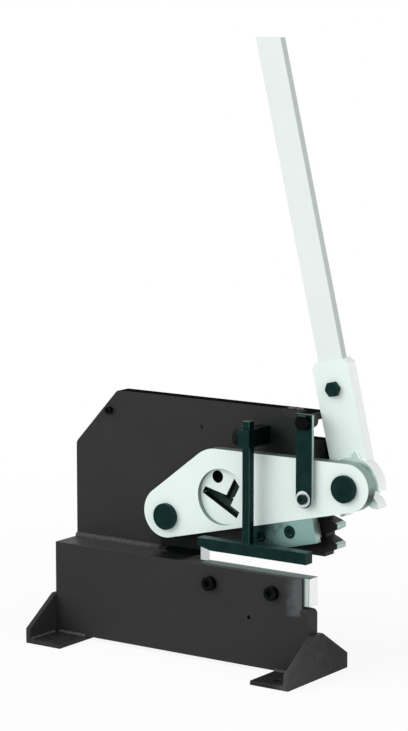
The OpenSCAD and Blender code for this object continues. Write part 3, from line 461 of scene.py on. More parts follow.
# Foot at the +X end: darker paint, with painted light towards its front edge.
SHADED_FOOT_PAINT = replace(FRAME_PAINT, name="shaded_foot_paint", colour=(33, 33, 33), patches=(
    ColourPatch((212, -90, 20), (16, 150, 150), (68, 67, 67), 1.0, 1.0),
))
# Weld beads in lighter paint: painted highlight; with painted shadow at the throat's end.
LIT_BEAD_PAINT = replace(FRAME_PAINT, name="lit_weld_bead_paint", colour=(82, 81, 81), gloss=0.0, peel=0.2,
                     bare=(84, 83, 82), wear=0.5, patches=(
    ColourPatch((-6, 34, 131), (74, 30, 30), (9, 11, 11), 1.0, 0.3),
))
# Near-black for upper faces of plate and bracket, and for the corner beside the rack: painted shade.
SHADED_TOP_PAINT = Paint("shaded_black_top_paint", (20, 21, 22), shade=0.8, roughness=0.6, gloss=0.0, peel=0.2,
                  bare=(60, 60, 60), wear=0.4, slot=Slot.FRAME_PAINT)
PALE_PAINT = Paint("pale_lever_paint", (216, 229, 225), shade=0.965, roughness=0.42, gloss=0.3, peel=0.15,
                   bare=(190, 200, 196), wear=0.5, slot=Slot.LEVER_PAINT)
BAR_PAINT = replace(PALE_PAINT, name="pale_bar_paint", colour=(215, 222, 219))
# Lighter paint for the socket's +X side: painted light.
LIT_SOCKET_SIDE = replace(PALE_PAINT, name="lit_socket_side_paint", colour=(239, 243, 241))
# Darker paint for the lever bar's sides: painted shade.
SHADED_LEVER_SIDE = replace(PALE_PAINT, name="shaded_lever_side_paint", colour=(186, 195, 192))
BLACK_STEEL = BlackOxide("black_oxide_steel", (15, 35, 33), 0.42)
# Lighter black steel for the hold-down bar's upper face: painted light.
LIT_BAR_TOP = BlackOxide("lit_bar_top_steel", (34, 62, 60), 0.45)
# Black steel whose rounded edges are five times brighter: painted highlight along the rod's corners.
HIGHLIT_ROD_STEEL = BlackOxide("highlit_rod_steel", (14, 33, 31), 0.42, edge_lift=5.0)
SCREW_BLACK = BlackOxide("black_screw_steel", (10, 12, 12), 0.36)
# Upper blade steel, darker over its part near the rod: the rod's painted shadow and reflection.
SHADED_UPPER_STEEL = GroundSteel("shaded_upper_blade_steel", (128, 160, 156), 0.42, Grain.ALONG_X, (
    ColourPatch((94, 20, 195), (78, 60, 75), (24, 48, 46), 1.0, 0.7),
))
# Lower blade: darker steel for faces turned from the light, and lit copies for its upper, front and end
# faces: painted light; the upper face has painted shade along its back edge.
LOWER_STEEL = GroundSteel("lower_blade_steel", (66, 80, 77), 0.36, Grain.ALONG_X)
LIT_LOWER_TOP = GroundSteel("lit_lower_blade_top_steel", (132, 158, 152), 0.42, Grain.ALONG_X, (
    ColourPatch((120, 17, 167), (130, 9, 12), (30, 52, 48), 1.0, 0.4),
))
LIT_LOWER_FRONT = GroundSteel("lit_lower_blade_front_steel", (192, 204, 201), 0.34, Grain.ALONG_Z)
LIT_LOWER_END = GroundSteel("lit_lower_blade_end_steel", (250, 253, 252), 0.2, Grain.ALONG_Z, dull=0.95)
# Lighter end face of the upper blade: painted light.
LIT_END_STEEL = GroundSteel("lit_upper_blade_end_steel", (176, 196, 191), 0.4, Grain.ALONG_Z)
# Bare steel sides of the jaw plate, with a painted shade spot at a tooth root of the gear.
SIDE_STEEL = GroundSteel("jaw_side_steel", (145, 163, 158), 0.5, Grain.ROUND, (
    ColourPatch((284, 24, 247), (16, 60, 16), (66, 80, 76), 1.0, 0.7),
))
# Lighter long sides of the strap: painted highlight.
LIT_STRAP_SIDE = GroundSteel("lit_strap_side_steel", (192, 206, 201), 0.45, Grain.ALONG_Z)
# Dark steel, darkened further as painted shade, for slot walls and the fixed die's face.
SHADED_SLOT_STEEL = GroundSteel("die_slot_steel", (5, 20, 17), 0.8, Grain.ROUND)
# Fixed die's slot walls, lighter near the front as painted light, with painted shade further in.
LIT_AND_SHADED_DEEP_SLOT = GroundSteel("lit_and_shaded_fixed_die_slot_steel", (72, 108, 100), 0.7, Grain.ROUND, (
    ColourPatch((52, 86, 225), (90, 40, 90), (6, 11, 10), 1.0, 0.3),
))
# Near-black wall of the round hole through the dies: painted shade.
SHADED_HOLE_STEEL = GroundSteel("shaded_die_hole_steel", (3, 6, 5), 0.8, Grain.ROUND)
TOOTH_STEEL = GroundSteel("tooth_steel", (180, 198, 193), 0.46, Grain.ROUND)
# Gear face steel with painted shade on the upper tooth and in a tooth root, and painted light on the lower
# tooth and the outer rim.
LIT_AND_SHADED_PINION = replace(TOOTH_STEEL, name="lit_and_shaded_pinion_steel", patches=(
    ColourPatch((226, 36, 284), (18, 20, 18), (104, 118, 114), 0.9, 0.9),
    ColourPatch((284, 36, 235), (16, 12, 13), (230, 242, 237), 1.0, 0.5),
    ColourPatch((282, 36, 268), (18, 12, 24), (226, 240, 235), 1.0, 0.5),
    ColourPatch((278, 36, 248), (7, 12, 6), (40, 54, 51), 0.9, 0.6),
))
THROAT_STEEL = GroundSteel("throat_wall_steel", (214, 222, 220), 0.4, Grain.ALONG_Z)
ROOT_STEEL = GroundSteel("tooth_root_steel", (46, 50, 50), 0.5, Grain.ROUND)
DIE_STEEL = GroundSteel("die_steel", (150, 164, 160), 0.38, Grain.ROUND)
BRIGHT_STEEL = GroundSteel("bright_steel", (206, 212, 210), 0.3, Grain.ROUND, slot=Slot.BRIGHT_STEEL)


@dataclass(frozen=True)
class Tint:
    """A finish of its own for some faces of a piece, chosen by their middle and normal; many are lit or
    shaded copies of the piece's finish, laying painted light and shade.
    """

    finish: Finish
    covers: FaceTest


def facing(side: Side, share: float = SQUARE_ON) -> FaceTest:
    """Gives the test for faces that look in a direction.

    Args:
        side: The direction.
        share: Least share of that direction in a face's normal.

    Returns:
        The test.
    """
    way = Vector(side.value)
    return lambda middle, normal: normal.dot(way) > share


def across_plate(middle: Vector, normal: Vector) -> bool:
    """Tells whether a face runs through a plate's thickness, as rims and bores do."""
    return abs(normal.y) < LEANING


def across_strap(middle: Vector, normal: Vector) -> bool:
    """Tells whether a face is a long side of the strap."""
    return abs(normal.x) > LEANING


def wall_around(axis: tuple[float, float], reach: float) -> FaceTest:
    """Gives the test for the wall of a hole whose axis runs along Y.

    Args:
        axis: X and Z of the axis, in millimetres.
        reach: Largest distance of the wall from the axis, in millimetres.

    Returns:
        The test.
    """
    def covers(middle: Vector, normal: Vector) -> bool:
        """Tells whether a face is part of the wall."""
        away = math.hypot(middle.x / MM - axis[0], middle.z / MM - axis[1])
        return across_plate(middle, normal) and away < reach

    return covers


# The round hole's wall in near-black: painted shade.
BAR_HOLE_WALL = Tint(SHADED_HOLE_STEEL, wall_around(BAR_HOLE, BAR_REACH))


def only(piece: Object) -> None:
    """Leaves edit mode, selects one object and makes it active.

    Args:
        piece: Object to select.
    """
    if bpy.context.object is not None and bpy.context.object.mode != "OBJECT":
        bpy.ops.object.mode_set(mode="OBJECT")
    bpy.ops.object.select_all(action="DESELECT")
    piece.select_set(True)
    bpy.context.view_layer.objects.active = piece


def joined(pieces: list[Object]) -> Object:
    """Joins objects into the first of them.

    Args:
        pieces: Objects to join.

    Returns:
        The first object, which now holds all meshes.
    """
    only(pieces[0])
    for piece in pieces[1:]:
        piece.select_set(True)
    bpy.ops.object.join()
    return pieces[0]


def pick(piece: Object, test: PlaceTest) -> None:
    """Selects the vertices whose place passes a test, and leaves the piece in edit mode.

    Args:
        piece: Object to select in.
        test: Tells by a vertex's place whether it is wanted.
    """
    only(piece)
    bpy.ops.object.mode_set(mode="EDIT")
    bpy.ops.mesh.select_mode(type="VERT")
    bpy.ops.mesh.select_all(action="DESELECT")
    bpy.ops.object.mode_set(mode="OBJECT")
    for vertex in piece.data.vertices:
        vertex.select = test(vertex.co)
    bpy.ops.object.mode_set(mode="EDIT")


def ring_cuts(piece: Object, axis: int, places: list[float]) -> None:
    """Cuts rings of new edges around a piece, square to one axis.

    Args:
        piece: Object to cut.
        axis: Number of the axis, 0 to 2.
        places: Places of the rings on that axis, in metres.
    """
    only(piece)
    bpy.ops.object.mode_set(mode="EDIT")
    for place in places:
        bpy.ops.mesh.select_all(action="SELECT")
        spot, way = [0.0, 0.0, 0.0], [0.0, 0.0, 0.0]
        spot[axis], way[axis] = place, 1.0
        bpy.ops.mesh.bisect(plane_co=spot, plane_no=way)
    bpy.ops.object.mode_set(mode="OBJECT")


def apply_modifiers(piece: Object) -> None:
    """Applies all modifiers of a piece in order.

    Args:
        piece: Object with the modifiers.
    """
    only(piece)
    for modifier in list(piece.modifiers):
        bpy.ops.object.modifier_apply(modifier=modifier.name)


def settle(piece: Object) -> None:
    """Puts a piece's place, turn and scale into its mesh."""
    only(piece)
    bpy.ops.object.transform_apply(location=True, rotation=True, scale=True)


def soften(piece: Object, radius: float, segments: int, bend: float) -> None:
    """Rounds a piece's edges and gives them its second material.

    Args:
        piece: Object whose edges are rounded.
        radius: Width of the rounding, in millimetres.
        segments: Faces across the rounding.
        bend: Least angle of an edge that is rounded, in degrees.
    """
    bevel = piece.modifiers.new("soft_edges", "BEVEL")
    bevel.width = radius * MM
    bevel.segments = segments
    bevel.limit_method = "ANGLE"
    bevel.angle_limit = math.radians(bend)
    bevel.material = 1
    apply_modifiers(piece)


def smooth(piece: Object, angle: float) -> None:
    """Smooths the shading of a piece, with large faces kept flat.

    Args:
        piece: Object to shade.
        angle: Least angle of an edge that stays sharp, in degrees.
    """
    only(piece)
    bpy.ops.object.shade_smooth_by_angle(angle=math.radians(angle))
    even = piece.modifiers.new("flat_faces", "WEIGHTED_NORMAL")
    even.keep_sharp = True
    even.weight = FLAT_WEIGHT
    apply_modifiers(piece)


def stand_for(piece: Object, node: str, body: str) -> Object:
    """Lets a finished piece stand for a CAD node.

    Args:
        piece: The finished piece.
        node: Name of the node.
        body: Body that the piece rides on.

    Returns:
        The piece.
    """
    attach(piece, body)
    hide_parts(node)
    log.info("%s: %d faces", piece.name, len(piece.data.polygons))
    return piece


class Wardrobe:
    """Keeps each finish's two materials, so that all pieces share them."""

    def __init__(self) -> None:
        """Starts with no materials."""
        self._made: dict[str, tuple[Material, Material]] = {}

    def materials(self, finish: Finish) -> tuple[Material, Material]:
        """Gives a finish's materials, made on first use.

        Args:
            finish: The finish.

        Returns:
            Its materials for faces and for edges.
        """
        if finish.name not in self._made:
            self._made[finish.name] = (finish.make(False), finish.make(True))
        return self._made[finish.name]

    def dress(self, piece: Object, finish: Finish, tints: tuple[Tint, ...] = ()) -> None:
        """Gives a piece a finish: faces in the first slot, edges in the second, tints after them.

        Args:
            piece: Object to dress.
            finish: Finish to use.
            tints: Finishes for some of its faces.
        """
        piece.data.materials.clear()
        for material in self.materials(finish):
            piece.data.materials.append(material)
        for face in piece.data.polygons:
            face.material_index = 0
        for tint in tints:
            piece.data.materials.append(self.materials(tint.finish)[0])
            for face in piece.data.polygons:
                if tint.covers(face.center, face.normal):
                    face.material_index = len(piece.data.materials) - 1


WARDROBE = Wardrobe()


@dataclass
class HexEnds:
    """The round chamfer that a hexagon head or nut has at its ends, with sizes in millimetres."""

    across: float
    front: bool
    back: bool
    play: float = 0.05
    flat_share: float = 0.95
    slope: float = 30.0
    facets: int = 96

    def cut(self, piece: Object, low: Vector, high: Vector) -> None:
        """Cuts the corners of the hexagon with a barrel around its axis.

        Args:
            piece: Screw or nut whose axis runs along Y.
            low: Lowest corner of its box.
            high: Highest corner of its box.
        """
        corner = self.across / math.sqrt(3) * MM + self.play * MM
        flat = self.across / 2 * MM * self.flat_share
        rise = (corner - flat) * math.tan(math.radians(self.slope))
        start, end = low.y - (0 if self.front else MM), high.y + (0 if self.back else MM)
        bpy.ops.mesh.primitive_cylinder_add(vertices=self.facets, radius=corner, depth=end - start,
                                            rotation=(math.pi / 2, 0, 0))
        barrel = bpy.context.object
        settle(barrel)
        half = (end - start) / 2
        ends = [sign for sign, wanted in ((-1, self.front), (1, self.back)) if wanted]
        ring_cuts(barrel, 1, [sign * (half - rise) for sign in ends])
        pick(barrel, lambda at: any(at.y * sign > half - rise / 2 for sign in ends))
        bpy.ops.transform.resize(value=(flat / corner, 1, flat / corner), center_override=(0, 0, 0))
        bpy.ops.object.mode_set(mode="OBJECT")
        barrel.location = ((low.x + high.x) / 2, (start + end) / 2, (low.z + high.z) / 2)
        settle(barrel)
        cutter = piece.modifiers.new("round_corners", "BOOLEAN")
        cutter.operation = "INTERSECT"
        cutter.object = barrel
        cutter.solver = "EXACT"
        apply_modifiers(piece)
        bpy.data.objects.remove(barrel)


@dataclass
class ThreadEnd:
    """Thread cut on the last part of a pin or screw whose axis runs along Y."""

    start: float
    end: float
    pitch: float = 1.75
    groove: float = 0.92

    def cut(self, piece: Object, x: float, z: float) -> None:
        """Adds rings to the pin's end and draws every second one in.

        Args:
            piece: Pin or screw.
            x: Place of its axis along X, in metres.
            z: Place of its axis along Z, in metres.
        """
        rings = int((self.end - self.start) / (self.pitch * MM / 2))
        places = [self.start + (self.end - self.start) * (i + 0.5) / rings for i in range(rings)]
        ring_cuts(piece, 1, places)
        pick(piece, lambda at: any(abs(at.y - place) < RING_REACH for place in places[::2]))
        bpy.ops.transform.resize(value=(self.groove, 1, self.groove), center_override=(x, 0, z))
        bpy.ops.object.mode_set(mode="OBJECT")


@dataclass
class WeldRun:
    """A fillet weld laid as overlapping drops along a straight seam, with sizes in millimetres."""

    name: str
    start: Triple
    end: Triple
    lean: Triple
    size: float
    facets: int = 16
    rings: int = 8
    pitch: float = 3.2
    bulge: float = 1.25
    overlap: float = 2.1
    shading: float = 60.0

    def build(self) -> Object:
        """Lays the drops, joins them and rounds them into one bead.

        Returns:
            The bead, in place.
        """
        start, end = Vector(self.start) * MM, Vector(self.end) * MM
        count = max(2, int((end - start).length / (self.pitch * MM)))
        along = (end - start).normalized()
        bpy.ops.mesh.primitive_uv_sphere_add(segments=self.facets, ring_count=self.rings, radius=0.5)
        first = bpy.context.object
        first.name = self.name
        drops = [first]
        for _ in range(count):
            drops.append(bpy.data.objects.new(self.name + "_drop", first.data.copy()))
            bpy.context.scene.collection.objects.link(drops[-1])
        for i, drop in enumerate(drops):
            swell = 1.0 + sum(height * math.sin(i * step + begin) for height, step, begin in WELD_WAVES)
            across = self.size * MM * self.bulge * swell
            drop.location = start + (end - start) * (i / count) + Vector(self.lean) * MM
            drop.rotation_mode = "QUATERNION"
            drop.rotation_quaternion = along.to_track_quat("X", "Z")
            drop.scale = (self.pitch * MM * self.overlap, across, across)
        joined(drops)
        settle(first)
        smooth(first, self.shading)
        return first


@dataclass
class BodyPieces:
    """Pieces that ride on one body, with the radii of their softened edges in millimetres."""

    body: str
    radii: dict[str, float]
    segments: int = 2
    bend: float = 40.0
    shading: float = 35.0

    def soft(self, node: str, finish: Finish, *tints: Tint, hexagon: HexEnds | None = None,
             thread: ThreadEnd | None = None) -> Object:
        """Shows one of the body's nodes with softened edges in place of its sharp ones.

        Args:
            node: Name of the node.
            finish: Finish of the piece.
            tints: Finishes for some of its faces.
            hexagon: Chamfer of its hexagon, if it has one.
            thread: Thread at its end, if it has one.

        Returns:
            The finished piece.
        """
        piece = bpy.data.objects.new(node + "_shown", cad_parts[node].data.copy())
        bpy.context.scene.collection.objects.link(piece)
        only(piece)
        if piece.data.has_custom_normals:
            bpy.ops.mesh.customdata_custom_splitnormals_clear()
        bpy.ops.object.mode_set(mode="EDIT")
        bpy.ops.mesh.select_all(action="SELECT")
        bpy.ops.mesh.remove_doubles(threshold=SAME_PLACE)
        bpy.ops.mesh.dissolve_limited(angle_limit=math.radians(FLAT_BEND))
        bpy.ops.object.mode_set(mode="OBJECT")
        low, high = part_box(node)
        if hexagon is not None:
            hexagon.cut(piece, low, high)
        if thread is not None:
            thread.cut(piece, (low.x + high.x) / 2, (low.z + high.z) / 2)
        WARDROBE.dress(piece, finish, tints)
        soften(piece, self.radii[node], self.segments, self.bend)
        smooth(piece, self.shading)
        return stand_for(piece, node, self.body)

    def pin_and_nut(self, pin: str, nut: str, across: float) -> list[Object]:
        """Shows a pin with its threaded end, and the nut on it.

        Args:
            pin: Name of the pin.
            nut: Name of the nut.
            across: Width of the nut across its flats, in millimetres.

        Returns:
            Pin and nut.
        """
        end = ThreadEnd(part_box(nut)[1].y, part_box(pin)[1].y)
        hexagon = HexEnds(across, True, True)
        return [self.soft(pin, BLACK_STEEL, thread=end), self.soft(nut, SCREW_BLACK, hexagon=hexagon)]


@dataclass
class FramePieces(BodyPieces):
    """The fixed frame: plates, feet, blades, dies and everything bolted to them, in millimetres."""

    body: str = "frame"
    radii: dict[str, float] = field(default_factory=lambda: {
        "left_foot": 1.5, "right_foot": 1.5, "base_plate": 1.4, "spacer_block": 0.8, "frame_plate": 1.0,
        "stop_bracket": 0.8, "guide_screw": 0.7, "hold_down_arm": 0.9, "lower_blade_screws": 0.8,
        "fixed_die_screws": 0.5, "frame_bolts": 0.8, "bracket_screws": 0.4, "arm_screws": 0.5,
        "frame_screw": 0.5, "jaw_thrust_washer": 0.2, "jaw_pivot_washer": 0.5, "guide_washer": 0.4,
        "guide_pad": 0.3, "jaw_pivot_pin": 1.1, "jaw_pivot_nut": 0.5, "guide_strap": 0.7,
        "strap_bolt": 0.4, "lower_blade": 0.4, "fixed_die": 0.4,
    })
    screws: tuple[str, ...] = ("lower_blade_screws", "fixed_die_screws", "frame_bolts", "bracket_screws",
                               "arm_screws", "frame_screw")
    washers: tuple[str, ...] = ("jaw_thrust_washer", "jaw_pivot_washer", "guide_washer", "guide_pad")
    pin_nut: float = 30.0
    strap_bolt: float = 19.0
    shoulder: float = 310.0
    rack_left: float = 190.0
    corner_low: float = 288.0
    throat_wall: float = 4.0
    wall_reach: float = 1.0
    bevel_turn: float = 0.1
    pivot_at: tuple[float, float] = (-40.0, 188.0)
    tip_reach: float = 262.0
    ledge_bead: float = 8.0
    foot_bead: float = 4.4
    leg_bead: float = 4.0
    ledge_lean: Triple = (0, -1.4, 1.0)
    lean_out: float = 0.7
    lean_up: float = 0.5
    seam_gap: float = 3.0
    corner_gap: float = 8.0
    toe_gap: float = 5.0

    def build(self) -> list[Object]:
        """Makes all pieces of the frame.

        Returns:
            The pieces.
        """
        # The foot at the +X end carries painted light and shade.
        made = [self.soft("left_foot", FRAME_PAINT), self.soft("right_foot", SHADED_FOOT_PAINT)]
        made += [self.soft(node, BLACK_STEEL) for node in ("guide_screw", "hold_down_arm")]
        made += [self.soft(node, SCREW_BLACK) for node in self.screws]
        made += [self.soft(node, BRIGHT_STEEL) for node in self.washers]
        made += self.plates()
        made += self.pin_and_nut("jaw_pivot_pin", "jaw_pivot_nut", self.pin_nut)
        made += [
            # Painted light on the strap's long sides and on the lower blade's upper, front and end faces;
            # painted shade in the fixed die's slots and hole.
            self.soft("guide_strap", BLACK_STEEL, Tint(LIT_STRAP_SIDE, across_strap)),
            self.soft("strap_bolt", SCREW_BLACK, hexagon=HexEnds(self.strap_bolt, True, False)),
            self.soft("lower_blade", LOWER_STEEL, Tint(LIT_LOWER_TOP, facing(Side.TOP)),
                      Tint(LIT_LOWER_FRONT, facing(Side.FRONT)), Tint(LIT_LOWER_END, facing(Side.RIGHT))),
            self.soft("fixed_die", SHADED_SLOT_STEEL, Tint(LIT_AND_SHADED_DEEP_SLOT, across_plate),
                      Tint(DIE_STEEL, facing(Side.BACK, LEANING)), BAR_HOLE_WALL),
            self.welds(),
        ]
        return made

    def plates(self) -> list[Object]:
        """Makes the plates that have faces with a finish of their own.

        Returns:
            Base plate and spacer with painted light on their upper faces and bevel, frame plate with its
            rack and painted shade, and stop bracket.
        """
        top_face, front_face, right_face = facing(Side.TOP), facing(Side.FRONT), facing(Side.RIGHT)

        def at_rack(middle: Vector, normal: Vector) -> bool:
            """Tells whether a face is part of the rim beside the rack."""
            return across_plate(middle, normal) and middle.x > self.rack_left * MM

        def at_tip(middle: Vector, normal: Vector) -> bool:
            """Tells whether a face is part of a tooth's tip."""
            away = math.hypot(middle.x / MM - self.pivot_at[0], middle.z / MM - self.pivot_at[1])
            return (across_plate(middle, normal) and middle.z < self.corner_low * MM
                    and away > self.tip_reach)

        # Painted light on the upper faces of base plate and spacer and on the bevel; painted shade on the
        # plate's and bracket's upper faces above the shoulder and on the corner beside the rack.
        lit_top = Tint(LIT_LEDGE_PAINT, top_face)
        bevel = Tint(LIT_BEVEL_PAINT, lambda middle, normal: front_face(middle, normal)
                     and normal.x > self.bevel_turn)
        shaded_top = Tint(SHADED_TOP_PAINT, lambda middle, normal: top_face(middle, normal)
                   and middle.z > self.shoulder * MM)
        rack = Tint(ROOT_STEEL, lambda middle, normal: at_rack(middle, normal)
                    and middle.z < self.shoulder * MM)
        tips = Tint(TOOTH_STEEL, at_tip)
        corner = Tint(SHADED_TOP_PAINT, lambda middle, normal: at_rack(middle, normal)
                      and middle.z > self.corner_low * MM)
        throat = Tint(THROAT_STEEL, lambda middle, normal: right_face(middle, normal)
                      and abs(middle.x / MM - self.throat_wall) < self.wall_reach)
        return [
            self.soft("base_plate", FRAME_PAINT, lit_top, bevel),
            self.soft("spacer_block", FRAME_PAINT, lit_top),
            self.soft("frame_plate", SHADED_PLATE_PAINT, shaded_top, rack, tips, corner, throat),
            self.soft("stop_bracket", FRAME_PAINT, shaded_top),
        ]

    def welds(self) -> Object:
        """Lays the weld beads over their CAD stand-ins.

        Returns:
            All beads as one piece.
        """
        low, high = (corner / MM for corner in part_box("base_plate"))
        plate_low, plate_high = (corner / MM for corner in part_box("frame_plate"))
        foot_low, foot_high = (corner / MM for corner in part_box("left_foot"))
        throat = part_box("spacer_block")[1].x / MM
        left_seam = (low.x + self.corner_gap, foot_high.x - self.seam_gap)
        right_seam = (self.seam_gap - foot_high.x, high.x - self.corner_gap)
        runs = [WeldRun("ledge_bead", (low.x + self.seam_gap, plate_low.y, high.z),
                        (throat - self.seam_gap, plate_low.y, high.z), self.ledge_lean, self.ledge_bead)]
        for name, (start, end), y, out in (
            ("left_front_bead", left_seam, low.y, -self.lean_out),
            ("right_front_bead", right_seam, low.y, -self.lean_out),
            ("left_back_bead", left_seam, plate_high.y, self.lean_out),
            ("right_back_bead", right_seam, high.y, self.lean_out),
        ):
            runs.append(WeldRun(name, (start, y, low.z), (end, y, low.z), (0, out, self.lean_up),
                                self.foot_bead))
        toe, heel = foot_low.y + self.toe_gap, low.y - self.corner_gap
        for name, x, out in (
            ("left_leg_bead", low.x, self.lean_out),
            ("right_leg_bead", high.x, -self.lean_out),
        ):
            runs.append(WeldRun(name, (x, toe, low.z), (x, heel, low.z), (out, 0, self.lean_up),
                                self.leg_bead))
        piece = joined([run.build() for run in runs])
        piece.name = "weld_beads_shown"
        # Beads in lighter paint: painted highlight.
        WARDROBE.dress(piece, LIT_BEAD_PAINT)
        return stand_for(piece, "weld_beads", self.body)


@dataclass
class JawPieces(BodyPieces):
    """The swinging jaw with its blade, die and the lever's pin, in millimetres."""

    body: str = "jaw"
    radii: dict[str, float] = field(default_factory=lambda: {
        "jaw": 1.1, "moving_die": 0.6, "upper_blade": 0.4, "upper_blade_screws": 0.6, "die_pin": 0.3,
        "jaw_bush": 0.2, "lever_thrust_washer": 0.2, "lever_pin_washer": 0.5, "lever_pin": 1.1,
        "lever_pin_nut": 0.5,
    })
    washers: tuple[str, ...] = ("jaw_bush", "lever_thrust_washer", "lever_pin_washer")
    pin_nut: float = 30.0

    def build(self) -> list[Object]:
        """Makes all pieces of the jaw.

        Returns:
            The pieces.
        """
        made = [self.soft(node, BRIGHT_STEEL) for node in self.washers]
        made += [
            # Painted shade on a spot of the jaw's sides, in the die's slots and hole, and on the blade near
            # the rod; painted light on the blade's end face.
            self.soft("jaw", PALE_PAINT, Tint(SIDE_STEEL, across_plate)),
            self.soft("moving_die", PALE_PAINT, Tint(SHADED_SLOT_STEEL, across_plate), BAR_HOLE_WALL),
            self.soft("upper_blade", SHADED_UPPER_STEEL, Tint(LIT_END_STEEL, facing(Side.RIGHT, LEANING))),
            self.soft("upper_blade_screws", BLACK_STEEL),
            self.soft("die_pin", DIE_STEEL),
        ]
        return made + self.pin_and_nut("lever_pin", "lever_pin_nut", self.pin_nut)


@dataclass
class LeverPieces(BodyPieces):
    """The lever: toothed socket, flat bar and clamp bolt, in millimetres."""

    body: str = "lever"
    radii: dict[str, float] = field(default_factory=lambda: {
        "lever_socket": 0.9, "lever_bar": 1.0, "clamp_bolt": 0.4, "clamp_nut": 0.4, "lever_bush": 0.2,
    })
    bolt_across: float = 19.0
    pinion_reach: float = 1.0
    right_turn: float = 0.3

    def build(self) -> list[Object]:
        """Makes all pieces of the lever.

        Returns:
            The pieces.
        """
        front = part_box("lever_socket")[0].y + self.pinion_reach * MM
        front_face = facing(Side.FRONT, LEANING)
        # Painted light on the socket's +X side; painted light and shade on the gear's front; painted shade
        # on the bar's sides.
        lit_right = Tint(LIT_SOCKET_SIDE, facing(Side.RIGHT, self.right_turn))
        gear_light_and_shade = Tint(LIT_AND_SHADED_PINION, lambda middle, normal: front_face(middle, normal) and middle.y < front)
        thread = ThreadEnd(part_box("clamp_nut")[1].y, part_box("clamp_bolt")[1].y)
        return [
            self.soft("lever_socket", PALE_PAINT, lit_right, gear_light_and_shade),
            self.soft("lever_bar", BAR_PAINT, Tint(SHADED_LEVER_SIDE, across_plate)),
            self.soft("clamp_bolt", BLACK_STEEL, hexagon=HexEnds(self.bolt_across, True, False),
                      thread=thread),
            self.soft("clamp_nut", SCREW_BLACK, hexagon=HexEnds(self.bolt_across, True, True)),
            self.soft("lever_bush", BRIGHT_STEEL),
        ]


@dataclass
class HoldDownPieces(BodyPieces):
    """The hold-down: rod, bar, its screw and the clamp screw with its knurled head, in millimetres."""

    body: str = "hold_down"
    radii: dict[str, float] = field(default_factory=lambda: {
        "hold_down_rod": 1.8, "hold_down_bar": 1.0, "bar_screw": 0.4, "clamp_screw": 0.25,
    })
    knob_length: float = 8.0
    ridges: int = 44
    ridge_depth: float = 0.5
    ridge_bend: float = 50.0
    ridge_shading: float = 25.0
    rim: float = 1.2
    dish: float = 0.6
    socket: float = 4.2
    socket_depth: float = 4.0
    thread_radius: float = 4.0
    thread_pitch: float = 1.2
    thread_core: float = 0.88
    thread_facets: int = 32
    least_rings: int = 4

    def build(self) -> list[Object]:
        """Makes all pieces of the hold-down.

        Returns:
            The pieces.
        """
        return [
            # Painted highlight on the rod's corners and painted light on the bar's upper face.
            self.soft("hold_down_rod", HIGHLIT_ROD_STEEL),
            self.soft("hold_down_bar", BLACK_STEEL, Tint(LIT_BAR_TOP, facing(Side.TOP))),
            self.soft("bar_screw", SCREW_BLACK),
            self.clamp_screw(),
        ]

    def clamp_screw(self) -> Object:
        """Makes the clamp screw: a knurled head with a hollow, on a threaded shank.

        Returns:
            The screw, in place.
        """
        low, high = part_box("clamp_screw")
        middle = (low + high) / 2
        radius = (high.z - low.z) / 2
        head = self.knob_length * MM
        bpy.ops.mesh.primitive_cylinder_add(vertices=self.ridges * 2, radius=radius, depth=head,
                                            rotation=(0, math.pi / 2, 0))
        piece = bpy.context.object
        piece.name = "clamp_screw_shown"
        settle(piece)
        step = math.pi / self.ridges
        pick(piece, lambda at: round(math.atan2(at.z, at.y) / step) % 2 == 1)
        shrink = 1 - self.ridge_depth * MM / radius
        bpy.ops.transform.resize(value=(1, shrink, shrink), center_override=(0, 0, 0))
        pick(piece, lambda at: at.x < 0)
        bpy.ops.mesh.select_mode(type="FACE")
        bpy.ops.mesh.inset(thickness=self.rim * MM, depth=self.dish * MM)
        bpy.ops.mesh.inset(thickness=radius - (self.rim + self.socket) * MM, depth=0.0)
        bpy.ops.mesh.extrude_region_move(TRANSFORM_OT_translate={"value": (self.socket_depth * MM, 0, 0)})
        bpy.ops.object.mode_set(mode="OBJECT")
        piece.location = (low.x + head / 2 + self.dish * MM, middle.y, middle.z)
        settle(piece)
        joined([piece, self._thread(low.x + head, high.x, middle.y, middle.z)])
        WARDROBE.dress(piece, SCREW_BLACK)
        soften(piece, self.radii["clamp_screw"], segments=1, bend=self.ridge_bend)
        smooth(piece, self.ridge_shading)
        return stand_for(piece, "clamp_screw", "clamp_screw")

    def _thread(self, start: float, end: float, y: float, z: float) -> Object:
        """Makes a ridged shank along X.

        Args:
            start: X where it starts, in metres.
            end: X where it ends.
            y: Place of its axis along Y.
            z: Place of its axis along Z.

        Returns:
            The shank, in place.
        """
        rings = max(self.least_rings, int((end - start) / (self.thread_pitch * MM / 2)))
        bpy.ops.mesh.primitive_cylinder_add(vertices=self.thread_facets, radius=self.thread_radius * MM,
                                            depth=end - start, rotation=(0, math.pi / 2, 0))
        shank = bpy.context.object
        settle(shank)
        places = [(start - end) / 2 + (end - start) * i / rings for i in range(1, rings)]
        ring_cuts(shank, 0, places)
        pick(shank, lambda at: any(abs(at.x - place) < RING_REACH for place in places[::2]))
        bpy.ops.transform.resize(value=(1, self.thread_core, self.thread_core), center_override=(0, 0, 0))
        bpy.ops.object.mode_set(mode="OBJECT")
        shank.location = ((start + end) / 2, y, z)
        settle(shank)
        return shank


